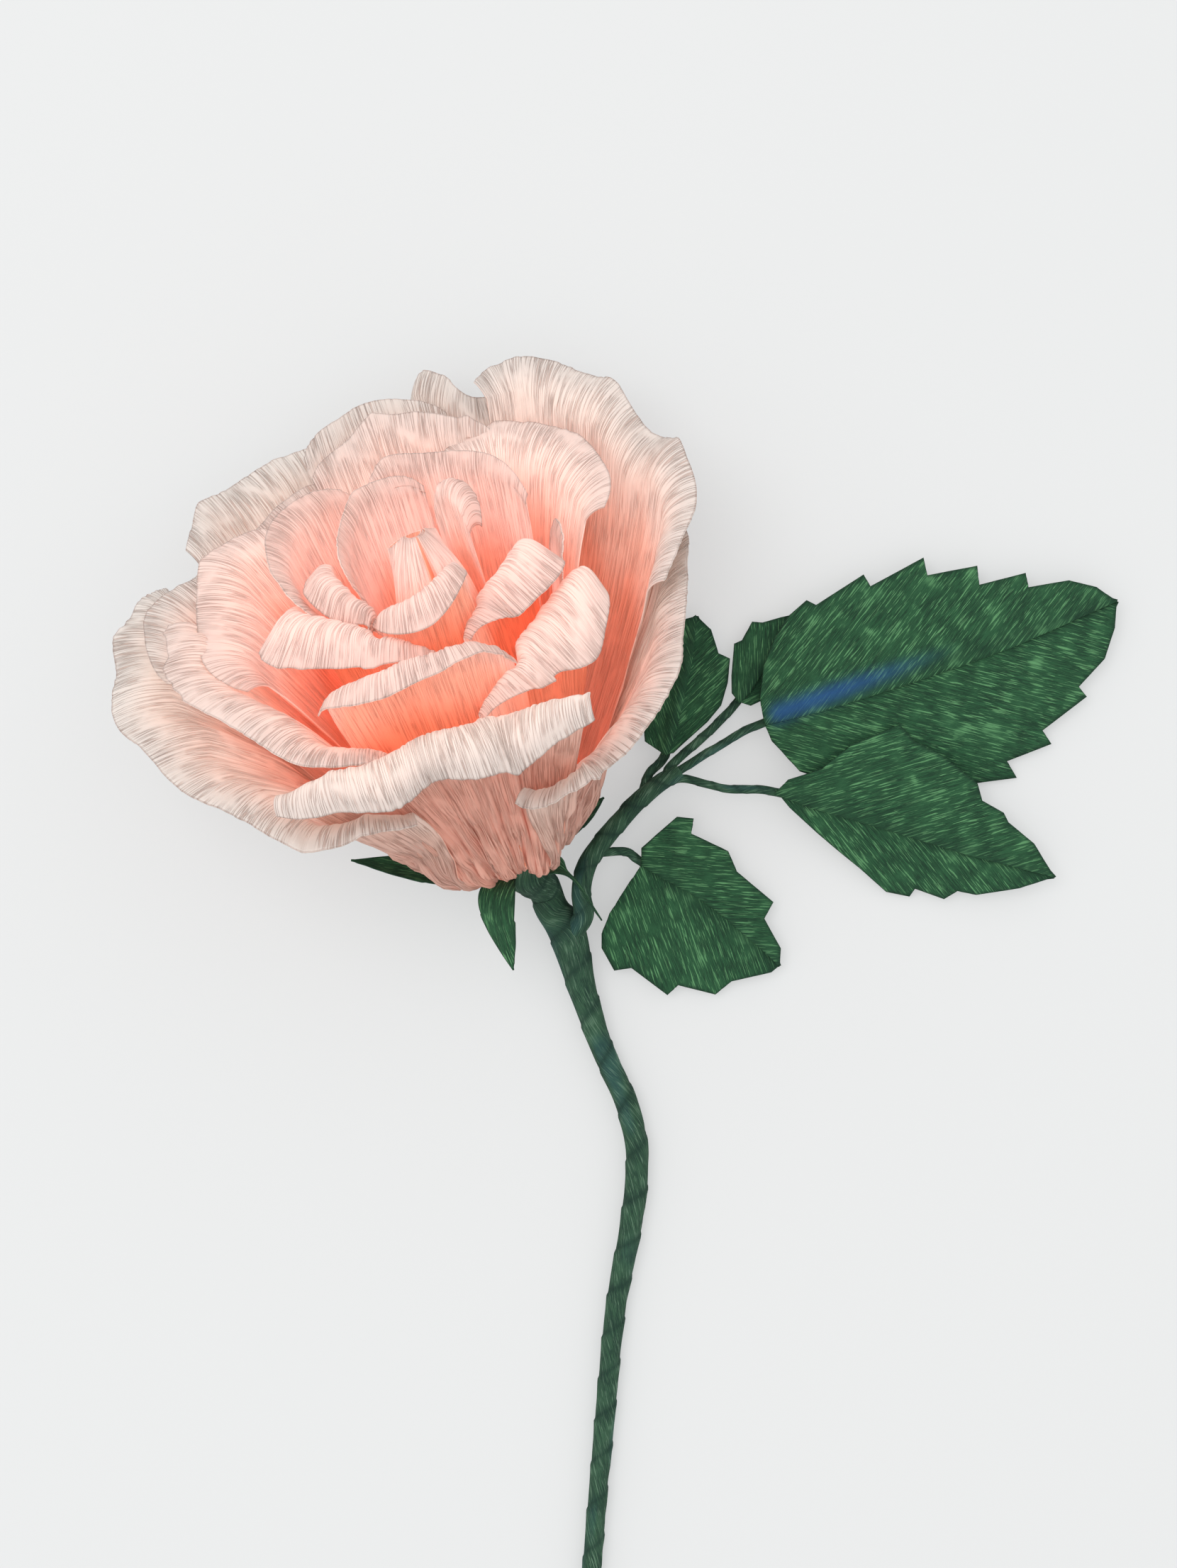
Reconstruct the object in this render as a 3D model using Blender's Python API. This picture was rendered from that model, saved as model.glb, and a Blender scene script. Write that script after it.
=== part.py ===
"""A rose of crepe paper, lying on a bench with its head turned up towards the viewer.

The head is a tight roll of paper with twenty-four separate petals around it. Every petal is a sheet
lofted from a narrow foot to its rim, cupped on the way and rolled outward at the top, and pressed
outward until it clears the petals inside it. A wrapped wire stem carries five sepals and one leaf of
five toothed leaflets. Lengths are in millimetres until a mesh is made, and angles are in degrees.
"""
import math

import bmesh
import bpy
import numpy as np
from mathutils import Euler, Matrix, Vector
from mathutils.bvhtree import BVHTree

MM = 0.001

# Paper and wire
PETAL_PAPER = 0.4
LEAF_PAPER = 0.35
GAP = 0.3
STEM_WIRE_RADIUS = 1.2
WRAP_MARGIN = 0.3
LEAFLET_WIRE_RADIUS = 0.8
LEAF_STALK_RADIUS = (2.2, 1.8)

# The head: its place on the bench, how far it leans from upright and which way it turns
HEAD_PLACE = (-13.9, -15.6)
HEAD_LEAN = 55.0
HEAD_TURN = 16.5
BENCH_CLEARANCE = 0.2

# The rolled heart of the flower
BUD_BOTTOM = 1.5
BUD_TOP = 79.0
BUD_RADIUS = 7.6
BUD_FOOT_RADIUS = 2.7
BUD_ROLL_STEP = 0.14

# Every petal
FOOT_RADIUS = 3.9
FOOT_HALF_WIDTH = 5.0
INNER_LEAN = 46.0
OUTER_LEAN = 58.0
ROUNDED_CORNER = 3.0
PETAL_COLUMNS = 8
NARROW_PETAL = 50.0
NARROW_COLUMNS = 6
BODY_ROWS = 5
ROLL_ROWS = 4

# Pressing a petal clear of those inside it: how finely it is tried, and how far the push spreads
FINE = 3
FAR = 150.0
MOST_LEAN_SHARE = 2.4
FACET_ALLOWANCES = [0.2, 0.4, 0.6, 0.8, 1.0, 1.3, 1.6, 2.0, 2.5, 3.1, 3.8]
SPREAD = 0.5

# The cone of the wrap under the petals
CONE_RADIUS = 5.2
CONE_TOP = -1.6
CONE_HEIGHT = 3.5
CONE_NECK = 4.4

SEPAL_LENGTH = 25.0
SEPAL_WIDTH = 9.0
SEPAL_FOOT_RADIUS = 5.8
SEPAL_FOOT_HEIGHT = -2.6


def petal(start, crown, end, flare, roll, roll_length, roll_growth=0.0, crest=2.4, lean=INNER_LEAN,
          crease=1.0, tips=(0.45, 0.45), blunt=(2.5, 2.5), flare_growth=0.0):
    """A petal's rim as (angle round the flower, radius, height) at one corner, its crown and the other.

    flare is how far the sheet leans out below the roll, roll is how far the rim is rolled outward over
    roll_length, and crease is the share of that length in which it bends: a small share is a fold. The
    growths make the roll longer and the flare wider towards the end corner. tips is what is left of the
    roll at the two corners, and a higher blunt keeps it long until close to the corner. A higher crest
    power gives a squarer rim. lean is how far the sheet leans out where it leaves the foot.
    """
    columns = NARROW_COLUMNS if end[0] - start[0] < NARROW_PETAL else PETAL_COLUMNS
    return dict(columns=columns, start=start, crown=crown, end=end, flare=flare, roll=roll,
                roll_length=roll_length, roll_growth=roll_growth, crest=crest, lean=lean, crease=crease,
                tips=tips, blunt=blunt, flare_growth=flare_growth)


# From the heart outward. Angle 0 is the flower's right side, 90 its far side, towards the bench.
PETALS = [
    petal((42, 13, 74), (55, 13, 79.5), (70, 12.5, 76), 2, 150, 8),
    petal((82, 26, 77.5), (124, 21.5, 77.5), (165, 13.5, 70), 8, 30, 4, crest=3),
    petal((206, 11.5, 67), (262, 10.5, 73), (318, 9, 73.5), 0, 135, 9, crease=0.55, tips=(0.25, 0.25),
          blunt=(2, 2)),
    petal((148, 21, 73.5), (174, 16, 72), (205, 11.5, 68), 4, 120, 7.5, crease=0.6, tips=(0.4, 0.25),
          blunt=(5, 2)),
    petal((40, 29, 73), (74, 28, 80), (107, 26.5, 76), 6, 50, 5, crest=3.5),
    petal((286, 11, 64), (334, 11.5, 68), (370, 19.5, 71), 2, 125, 14, 0.3, crease=0.5, tips=(0.2, 0.45),
          blunt=(1.5, 5)),
    petal((106, 35, 73), (142, 31, 77), (188, 17.5, 65), 12, 50, 6),
    petal((168, 26, 71), (207, 17, 68.5), (266, 14, 61.5), 8, 125, 11, -0.45, crease=0.5, tips=(0.45, 0.3),
          blunt=(5, 1.5)),
    petal((206, 28, 58.5), (256, 20, 65), (306, 20, 60), 6, 120, 7.5, -0.3, crease=0.6, tips=(0.35, 0.35),
          blunt=(3, 2)),
    petal((-2, 23, 58), (18, 27, 66), (38, 31, 62), 10, 20, 4),
    petal((276, 20, 52), (324, 18.5, 60), (356, 29, 66), 8, 120, 16, 0.35, crease=0.5, tips=(0.2, 0.45),
          blunt=(1.5, 5)),
    petal((132, 42, 73), (156, 45, 71), (178, 37, 60), 32, 60, 12, lean=OUTER_LEAN),
    petal((28, 39, 65), (53, 46, 74), (76, 37.5, 76), 34, 60, 12, lean=OUTER_LEAN),
    petal((162, 49, 68), (192, 41, 62), (236, 24, 50), 34, 60, 12, lean=OUTER_LEAN),
    petal((66, 45, 74), (90, 48, 80), (112, 48, 75), 16, 30, 7),
    petal((108, 51.5, 71), (126, 49, 71), (142, 49, 64), 20, 30, 6),
    petal((212, 46, 51), (261, 29, 55), (308, 39, 57), 30, 150, 15, lean=OUTER_LEAN, crease=0.8,
          tips=(0.35, 0.5), blunt=(4, 6)),
    petal((4, 43, 57), (44, 59, 72), (68, 57, 82), 22, 60, 12, lean=OUTER_LEAN),
    petal((78, 56, 75), (96, 55, 80), (110, 56.5, 75), 16, 30, 6),
    petal((134, 54, 68), (153, 57, 67), (170, 54, 59), 34, 40, 9, lean=OUTER_LEAN),
    petal((58, 61, 70), (74, 57, 79.5), (85, 63, 79), 16, 30, 7),
    petal((286, 22, 34), (346, 40, 44), (390, 47, 58), 42, 45, 10, lean=OUTER_LEAN,
          flare_growth=-0.5),
    petal((102, 61, 70), (122, 61.5, 74), (139, 62, 70), 26, 40, 9),
    petal((149, 66, 66), (176, 62, 54), (236, 30, 36), 56, 40, 12, lean=OUTER_LEAN),
]

# Sepals: angle round the flower, length factor, how far the blade bends back from level, and its twist
SEPALS = [
    (160, 1.22, -28, 0),
    (224, 0.72, 66, 0),
    (326, 0.72, 62, -46),
    (40, 0.82, -7, 0),
    (100, 0.54, -9, 0),
]

# The stem's centre line on the bench and the outer radius of its wrap: x, y, height, radius. Its cut end
# is STEM_REACH from the bench's middle, and its last stretch is drawn out to there.
STEM_REACH = 226.0
STEM = [
    (-9.4, -21.6, 6.2, 3.6),
    (-7.6, -26.0, 4.7, 3.5),
    (-4.4, -31.3, 4.1, 3.9),
    (-1.2, -43.2, 3.4, 2.9),
    (2.8, -55.2, 2.7, 2.4),
    (8.0, -67.1, 2.6, 2.4),
    (10.2, -78.0, 2.6, 2.4),
    (9.0, -92.0, 2.5, 2.4),
    (6.0, -108.0, 2.3, 2.2),
    (4.2, -124.0, 2.2, 2.1),
    (2.6, -142.0, 2.1, 2.0),
    (0.8, -0.25 * STEM_REACH - 106.5, 2.1, 2.0),
    (-0.6, -0.5 * STEM_REACH - 71.0, 2.1, 2.0),
    (-1.6, -0.775 * STEM_REACH - 31.9, 2.1, 2.0),
    (-2.0, -STEM_REACH, 2.1, 2.0),
]
STEM_RINGS = 29
STEM_CROWD = 1.35
STEM_SIDES = 8
WIRE_SIDES = 6
WIRE_TAIL = 1.5

# The leaf stalk from the stem to the point where the leaflets' wires part
LEAF_STALK = [
    (-1.0, -27.2, 7.6),
    (-1.6, -22.0, 7.8),
    (0.0, -16.2, 7.4),
    (3.4, -11.4, 6.6),
    (8.6, -5.4, 5.6),
    (13.4, -1.0, 4.9),
    (19.0, 2.8, 4.6),
]


def leaflet(name, base, heading, length, base_height, tip_height, droop, bow, left, right, joins, bend,
            beside=0.0):
    """A leaflet in its own plan: along its midrib from the base, and across it to the left and right.

    left and right are the toothed margins as (along, across) tips and notches, without the tip of the
    leaflet. joins is the share along the leaf stalk where its wire leaves, beside is how far to the left
    it leaves the stalk's end, and bend is how far it swings out sideways on its way to the base.
    """
    return dict(name=name, base=base, heading=heading, length=length, base_height=base_height,
                tip_height=tip_height, droop=droop, bow=bow, left=left, right=right, joins=joins, bend=bend,
                beside=beside)


END_LEAFLET_LENGTH = 78.0
END_LEAFLET_DRAWN = 78.0


def drawn_out(margin):
    """The end leaflet's margin, stretched from the length it was drawn at to its length."""
    return [(along * END_LEAFLET_LENGTH / END_LEAFLET_DRAWN, across) for along, across in margin]


LEAFLETS = [
    leaflet("leaflet_1", (36.4, 12.7), 19, END_LEAFLET_LENGTH, 5.6, 4.2, (1.6, 3.6), -1.0,
            drawn_out([(1, 5.4), (4, 11.3), (8, 16), (12, 19.3), (17, 21.3), (18.5, 19.7), (30, 22.5),
                       (30.5, 19.7), (43, 21.8), (42.5, 18), (53, 16.5), (52, 12.6), (62, 11.8), (61.5, 8.8),
                       (70, 7.4), (75, 4.2)]),
            drawn_out([(0.5, 4.1), (4, 12), (10, 16.7), (21, 21.3), (31, 24.3), (38, 26.4), (47, 28.2),
                       (46, 24.2), (56, 23.8), (55, 20.5), (66, 16.8), (65, 14.3), (72, 10.5), (76, 5.1)]),
            1.0, 0.4),
    leaflet("leaflet_2", (38.6, -1.6), -17, 61, 6.2, 5.0, (0.4, 4.2), 0.4,
            [(2.0, 3.2), (8, 7.4), (12.5, 14), (21, 21), (25, 18.6), (31, 17.5), (40, 14), (42, 10.9),
             (47, 9.8), (48.5, 8.2), (55, 5.5)],
            [(4, 2.2), (11, 5.5), (22, 10), (29, 13.1), (34, 12.6), (34.5, 10.7), (41, 11), (43, 8.6),
             (47, 8.2), (55, 4.2)], 1.0, -0.8, -2.0),
    leaflet("leaflet_3", (11.2, -16.4), -37, 36, 5.4, 2.6, (1.6, 1.6), 2.4,
            [(-2, 2.4), (0, 12), (3, 13.8), (4.5, 11), (13, 12.7), (17, 10.4), (27, 9.9), (27.5, 6),
             (34, 3.1)],
            [(0.5, 5.4), (1.0, 12.6), (2.2, 17), (4, 19.4), (9, 21.6), (11.5, 19), (21, 19), (21.5, 16),
             (29, 12.9), (30, 8.6), (35.5, 2.1)], 0.38, 1.5),
    leaflet("leaflet_4", (15.9, 5.9), 77, 30, 3.4, 2.6, (1.2, 1.2), 0.0,
            [(2, 4.7), (5, 5.6), (11, 7.7), (13, 6.8), (20, 7.2), (22, 5.6), (28, 3.9)],
            [(1, 1.6), (3, 3), (9, 7.2), (13, 9.2), (18, 9.5), (23, 8.8), (23.5, 6.2), (28, 3.6)], 0.78, 0.8),
    leaflet("leaflet_5", (31.1, 17.1), 57, 22, 2.8, 1.7, (0.5, 0.6), 0.0,
            [(1, 2), (4, 4), (10, 7.2), (11.5, 6.2), (16, 6.5), (17, 4.6), (20, 2)],
            [(1, 2.8), (5, 5.3), (11, 6.8), (12, 5.8), (17, 4.9), (20, 2)], 1.0, -0.4, 2.0),
]
LAP = 1.2
WIRE_UNDER_LEAFLET = 0.62


def ease(t):
    """A smooth step from 0 to 1."""
    t = np.clip(t, 0.0, 1.0)
    return t * t * (3 - 2 * t)


def material(name, colour, roughness):
    made = bpy.data.materials.new(name)
    made.use_nodes = True
    shader = made.node_tree.nodes["Principled BSDF"]
    shader.inputs["Base Color"].default_value = (*colour, 1.0)
    shader.inputs["Roughness"].default_value = roughness
    return made


def add_object(name, points, faces, parent, finish):
    """A closed mesh from points in millimetres in the parent's frame."""
    mesh = bpy.data.meshes.new(name)
    mesh.from_pydata([tuple(MM * c for c in p) for p in points], [], faces)
    builder = bmesh.new()
    builder.from_mesh(mesh)
    bmesh.ops.triangulate(builder, faces=builder.faces)
    bmesh.ops.recalc_face_normals(builder, faces=builder.faces)
    builder.to_mesh(mesh)
    builder.free()
    mesh.shade_smooth()
    mesh.set_sharp_from_angle(angle=math.radians(50))
    made = bpy.data.objects.new(name, mesh)
    bpy.context.collection.objects.link(made)
    made.parent = parent
    made.data.materials.append(material(name + "_paper", *finish))
    return made


def sheet_normals(sheet):
    along = np.gradient(sheet, axis=0)
    across = np.gradient(sheet, axis=1)
    normal = np.cross(across, along)
    return normal / np.maximum(np.linalg.norm(normal, axis=2, keepdims=True), 1e-9)


def thicken(sheet, thickness):
    """Points and faces of a closed solid: the sheet given a thickness about its middle."""
    rows, columns = sheet.shape[:2]
    half = sheet_normals(sheet) * thickness / 2
    points = np.concatenate([(sheet + half).reshape(-1, 3), (sheet - half).reshape(-1, 3)])
    back = rows * columns

    def at(i, j):
        return i * columns + j

    faces = []
    for i in range(rows - 1):
        for j in range(columns - 1):
            a, b, c, d = at(i, j), at(i, j + 1), at(i + 1, j + 1), at(i + 1, j)
            faces += [(a, b, c), (a, c, d)]
            faces += [(back + c, back + b, back + a), (back + d, back + c, back + a)]
    edge = [at(0, j) for j in range(columns)] + [at(i, columns - 1) for i in range(1, rows)]
    edge += [at(rows - 1, j) for j in range(columns - 2, -1, -1)] + [at(i, 0) for i in range(rows - 2, 0, -1)]
    for a, b in zip(edge, edge[1:] + edge[:1]):
        faces += [(b, a, back + a), (b, back + a, back + b)]
    return points, faces


def rim_point(spec, u):
    """Angle, radius and height of a petal's rim at u, from -1 at its start corner to 1 at its end."""
    start, crown, end = (np.array(spec[key], float) for key in ("start", "crown", "end"))
    return crown + (end - start) / 2 * u + ((start + end) / 2 - crown) * abs(u) ** spec["crest"]


def petal_line(spec, u, fine=40):
    """The petal's section at u as (radius, height) points, and the length of its body below the roll."""
    angle, radius, height = rim_point(spec, u)
    flare = math.radians(spec["flare"] * (1 + spec["flare_growth"] * u))
    cut = ROUNDED_CORNER * abs(u) ** 8
    radius, height = radius - cut * math.sin(flare), height - cut * math.cos(flare)
    side = 0 if u < 0 else 1
    share = 1 - (1 - spec["tips"][side]) * abs(u) ** spec["blunt"][side]
    length = spec["roll_length"] * (1 + spec["roll_growth"] * u) * share
    step = length / fine
    bent = math.radians(spec["roll"]) * np.minimum(1, (np.arange(fine) + 0.5) / fine / spec["crease"]) ** 0.8
    reach = max(0.0, np.cumsum(np.cos(bent)).max() * step)
    foot = np.array([FOOT_RADIUS, 0.0])
    neck = np.array([radius - reach * math.sin(flare), height - reach * math.cos(flare)])
    pull = 0.85 * np.linalg.norm(neck - foot)
    lean = math.radians(spec["lean"])
    t = np.linspace(0, 1, 3 * fine + 1)[:, None]
    leave = pull * np.array([math.sin(lean), math.cos(lean)])
    arrive = pull * np.array([math.sin(flare), math.cos(flare)])
    body = ((2 * t ** 3 - 3 * t ** 2 + 1) * foot + (t ** 3 - 2 * t ** 2 + t) * leave
            + (3 * t ** 2 - 2 * t ** 3) * neck + (t ** 3 - t ** 2) * arrive)
    turned = np.stack([np.sin(flare + bent), np.cos(flare + bent)], axis=1) * step
    line = np.concatenate([body, neck + np.cumsum(turned, axis=0)])
    run = np.concatenate([[0], np.cumsum(np.linalg.norm(np.diff(line, axis=0), axis=1))])
    return angle, line, run, run[3 * fine]


def petal_sheet(spec, columns, body_rows, roll_rows):
    """The petal's middle surface in the head's frame, rows from foot to rim, rolled square to its rim."""
    sheet = np.zeros((body_rows + roll_rows + 1, columns + 1, 3))
    foot_spread = math.degrees(min(1.2, FOOT_HALF_WIDTH / (FOOT_RADIUS + 2)))
    beyond_neck = np.zeros((roll_rows, columns + 1))
    for j, u in enumerate(np.linspace(-1, 1, columns + 1)):
        angle, line, run, body = petal_line(spec, u)
        rows = np.concatenate([np.linspace(0, body, body_rows, endpoint=False),
                               np.linspace(body, run[-1], roll_rows + 1)])
        radius = np.interp(rows, run, line[:, 0])
        height = np.interp(rows, run, line[:, 1])
        beyond_neck[:, j] = radius[body_rows + 1:] - radius[body_rows]
        radius[body_rows + 1:] = radius[body_rows]
        foot_angle = spec["crown"][0] + u * foot_spread
        turn = np.radians(foot_angle + (angle - foot_angle) * ease(rows / body / 0.75))
        sheet[:, j] = np.stack([radius * np.cos(turn), radius * np.sin(turn), height], axis=1)
    rim = np.gradient(sheet[body_rows, :, :2], axis=0)
    outward = np.stack([rim[:, 1], -rim[:, 0]], axis=1) / np.linalg.norm(rim, axis=1, keepdims=True)
    sheet[body_rows + 1:, :, :2] += beyond_neck[..., None] * outward
    return sheet


def press_outward(spec, tree, allowance):
    """A petal's sheet with its points moved away from the flower's axis, clear of the petals inside it."""
    fine = petal_sheet(spec, FINE * spec["columns"], FINE * BODY_ROWS, FINE * ROLL_ROWS)
    radius = np.hypot(fine[..., 0], fine[..., 1])
    angle = np.arctan2(fine[..., 1], fine[..., 0])
    height = fine[..., 2]
    lean = np.arctan2(np.abs(np.gradient(radius, axis=0)), np.abs(np.gradient(height, axis=0)) + 1e-6)
    clearance = (PETAL_PAPER + GAP) * np.minimum(MOST_LEAN_SHARE, 1 / np.cos(lean)) + allowance
    push = np.zeros_like(radius)
    for i, j in np.ndindex(*radius.shape):
        out = Vector((math.cos(angle[i, j]), math.sin(angle[i, j]), 0))
        hit = tree.ray_cast(Vector((0, 0, height[i, j])) + out * FAR, -out, FAR)
        if hit[0] is not None:
            push[i, j] = max(0.0, FAR - hit[3] + clearance[i, j] - radius[i, j])
    reach = FINE // 2
    padded = np.pad(push, reach, mode="edge")
    shifts = range(2 * reach + 1)
    rows, columns = push.shape
    most = np.max([padded[i:i + rows, j:j + columns] for i in shifts for j in shifts], axis=0)
    push = most[::FINE, ::FINE]
    padded = np.pad(push, 1, mode="edge")
    around = (padded[:-2, 1:-1] + padded[2:, 1:-1] + padded[1:-1, :-2] + padded[1:-1, 2:]) / 4
    push = np.maximum(push, SPREAD * around)
    push[BODY_ROWS:] = push[BODY_ROWS:].max(axis=0)
    sheet = fine[::FINE, ::FINE].copy()
    sheet[..., 0] += push * np.cos(angle[::FINE, ::FINE])
    sheet[..., 1] += push * np.sin(angle[::FINE, ::FINE])
    return sheet


def smooth_route(points, count, crowd=1.0):
    """Points on a smooth curve through the given rows, evenly spaced or, with crowd, closer at its start."""
    points = np.array(points, float)
    ends = np.concatenate([[2 * points[0] - points[1]], points, [2 * points[-1] - points[-2]]])
    fine = []
    for k in range(len(points) - 1):
        p0, p1, p2, p3 = ends[k:k + 4]
        for t in np.linspace(0, 1, 16, endpoint=False):
            fine.append(0.5 * (2 * p1 + (p2 - p0) * t + (2 * p0 - 5 * p1 + 4 * p2 - p3) * t * t
                               + (3 * p1 - p0 - 3 * p2 + p3) * t ** 3))
    fine.append(points[-1])
    fine = np.array(fine)
    run = np.concatenate([[0], np.cumsum(np.linalg.norm(np.diff(fine[:, :3], axis=0), axis=1))])
    at = run[-1] * np.linspace(0, 1, count) ** crowd
    return np.stack([np.interp(at, run, fine[:, c]) for c in range(fine.shape[1])], axis=1)


def rings_along(route, radii, sides):
    """Rings of points round a route, carried along it without twist."""
    route = np.asarray(route, float)
    tangent = np.gradient(route, axis=0)
    tangent /= np.linalg.norm(tangent, axis=1, keepdims=True)
    normal = np.cross(tangent[0], (0.0, 0.0, 1.0))
    normal /= np.linalg.norm(normal)
    rings = []
    for k, place in enumerate(route):
        normal = normal - tangent[k] * (normal @ tangent[k])
        normal /= np.linalg.norm(normal)
        second = np.cross(tangent[k], normal)
        turns = 2 * math.pi * np.arange(sides) / sides
        rings.append(place + radii[k] * (np.outer(np.cos(turns), normal) + np.outer(np.sin(turns), second)))
    return np.array(rings)


def ring_faces(count, sides, first=0):
    faces = []
    for k in range(count - 1):
        for s in range(sides):
            n = (s + 1) % sides
            a, b = first + k * sides, first + (k + 1) * sides
            faces.append((a + s, a + n, b + n, b + s))
    return faces


def rod(route, radii, sides):
    rings = rings_along(route, radii, sides)
    faces = ring_faces(len(rings), sides)
    last = (len(rings) - 1) * sides
    faces.append(tuple(range(sides - 1, -1, -1)))
    faces.append(tuple(last + s for s in range(sides)))
    return rings.reshape(-1, 3), faces


def sleeve(route, outer, inner, sides):
    """A hollow tube, open at both ends."""
    outside = rings_along(route, outer, sides)
    inside = rings_along(route, inner, sides)
    back = len(outside) * sides
    faces = ring_faces(len(outside), sides)
    faces += [tuple(reversed(f)) for f in ring_faces(len(inside), sides, back)]
    last = (len(outside) - 1) * sides
    for s in range(sides):
        n = (s + 1) % sides
        faces.append((n, s, back + s, back + n))
        faces.append((last + s, last + n, back + last + n, back + last + s))
    return np.concatenate([outside.reshape(-1, 3), inside.reshape(-1, 3)]), faces


def rolled_bud():
    """The heart: a strip rolled tight, with the step of its last turn running up one side."""
    sides, rings = 12, 8
    points = []
    for i in range(rings):
        t = i / (rings - 1)
        swell = math.sin(math.pi * (0.12 + 0.74 * t)) ** 0.8
        radius = BUD_FOOT_RADIUS + (BUD_RADIUS - BUD_FOOT_RADIUS) * ease(t / 0.7) * swell
        radius *= 1 - 0.5 * max(0.0, (t - 0.8) / 0.2) ** 2
        for s in range(sides):
            turn = s / (sides - 1)
            angle = math.radians(-60) + 2 * math.pi * turn * (sides - 1) / sides
            points.append((radius * (1 + BUD_ROLL_STEP * turn) * math.cos(angle),
                           radius * (1 + BUD_ROLL_STEP * turn) * math.sin(angle),
                           BUD_BOTTOM + (BUD_TOP - BUD_BOTTOM) * t))
    faces = ring_faces(rings, sides)
    last = (rings - 1) * sides
    faces.append(tuple(range(sides - 1, -1, -1)))
    faces.append(tuple(last + s for s in range(sides)))
    return points, faces


def sepal_sheet(angle, length_factor, bend_back, twist):
    """A pointed blade that leaves the stem's cone outward, bends back along the stem and may twist."""
    rows, columns = 5, 4
    sheet = np.zeros((rows + 1, columns + 1, 3))
    length = SEPAL_LENGTH * length_factor
    turn = math.radians(angle)
    place = np.array([SEPAL_FOOT_RADIUS, SEPAL_FOOT_HEIGHT])
    for i in range(rows + 1):
        t = i / rows
        drop = math.radians(12 + bend_back * ease(t / 0.6))
        if i:
            place = place + length / rows * np.array([math.cos(drop), -math.sin(drop)])
        twisted = math.radians(twist * ease(t / 0.35))
        width = SEPAL_WIDTH * (0.42 + 0.58 * math.sin(math.pi * min(1, t * 1.25 + 0.08)) if t < 0.5
                               else max(0.06, 1 - ((t - 0.42) / 0.58) ** 1.6))
        for j in range(columns + 1):
            v = 2 * j / columns - 1
            side = v * width / 2
            cupped = 0.08 * width * v * v
            radius = place[0] + side * math.sin(twisted) * math.sin(drop) - cupped
            across = side * math.cos(twisted)
            sheet[i, j] = (radius * math.cos(turn) - across * math.sin(turn),
                           radius * math.sin(turn) + across * math.cos(turn),
                           place[1] + side * math.sin(twisted) * math.cos(drop) + cupped)
    return sheet


def leaflet_half(spec, side):
    """One half of a leaflet on the bench: columns run from the midrib out to the toothed margin."""
    margin = spec["left"] if side > 0 else spec["right"]
    margin = margin + [(spec["length"], 0.0)]
    count = len(margin)
    cells = 2
    heading = math.radians(spec["heading"])
    droop = spec["droop"][0 if side > 0 else 1]
    widest = max(across for _, across in margin)
    lift = (LEAF_PAPER + GAP) if side > 0 else 0.0
    sheet = np.zeros((cells + 1, count, 3))
    for k, (along_out, across_out) in enumerate(margin):
        share = k / (count - 1)
        along_mid = spec["length"] * (0.25 * share + 0.75 * share ** 1.3)
        lap = LAP * min(1.0, 4 * (1 - share)) * min(1.0, 0.4 + 3 * share)
        for i in range(cells + 1):
            v = i / cells
            along = along_mid + (along_out - along_mid) * v
            across = side * (-lap + (across_out + lap) * v)
            across += spec["bow"] * math.sin(math.pi * min(1.0, max(0.0, along / spec["length"]))) * (1 - v)
            if k == count - 1:
                across = side * (-lap * 0.2 + 0.35 * v)
                along = spec["length"] * (1 + 0.004 * v)
            height = spec["base_height"] + (spec["tip_height"] - spec["base_height"]) * along / spec["length"]
            height -= droop * (max(0.0, abs(across)) / widest) ** 1.6
            x = spec["base"][0] + along * math.cos(heading) - across * math.sin(heading)
            y = spec["base"][1] + along * math.sin(heading) + across * math.cos(heading)
            sheet[i, k] = (x, y, height + lift)
    return sheet


def leaflet_wire(spec, stalk, stalk_radii):
    """The thin wire from the leaf stalk to the leaflet, and on under its midrib."""
    heading = math.radians(spec["heading"])
    ahead = np.array([math.cos(heading), math.sin(heading), 0.0])
    under = LEAF_PAPER / 2 + GAP + LEAFLET_WIRE_RADIUS + 0.1
    base = np.array([*spec["base"], spec["base_height"] - under])
    slope = (spec["tip_height"] - spec["base_height"]) / spec["length"]
    reach = WIRE_UNDER_LEAFLET * spec["length"]
    end = base + reach * ahead + np.array([0, 0, slope * reach])
    side = np.array([-ahead[1], ahead[0], 0.0])
    middle = (base + end) / 2 + side * spec["bow"] * 0.9
    k = spec["joins"] * (len(stalk) - 1)
    whole = min(int(k), len(stalk) - 2)
    leave = stalk[whole] + (stalk[whole + 1] - stalk[whole]) * (k - whole)
    out = base - leave
    along = stalk[whole + 1] - stalk[whole]
    along = along / np.linalg.norm(along)
    if spec["joins"] >= 1:
        beside = np.array([-along[1], along[0], 0.0]) * spec["beside"]
        start = leave + along * (GAP + 0.1) + beside
    else:
        away = out - along * (out @ along)
        away = away / np.linalg.norm(away)
        radius = stalk_radii[whole]
        start = leave + away * (radius + LEAFLET_WIRE_RADIUS + GAP)
    bend = (start + base) / 2 + side * spec["bend"]
    route = smooth_route([start, bend, base, middle, end], 11)
    return rod(route, np.full(len(route), LEAFLET_WIRE_RADIUS), WIRE_SIDES)


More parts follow.
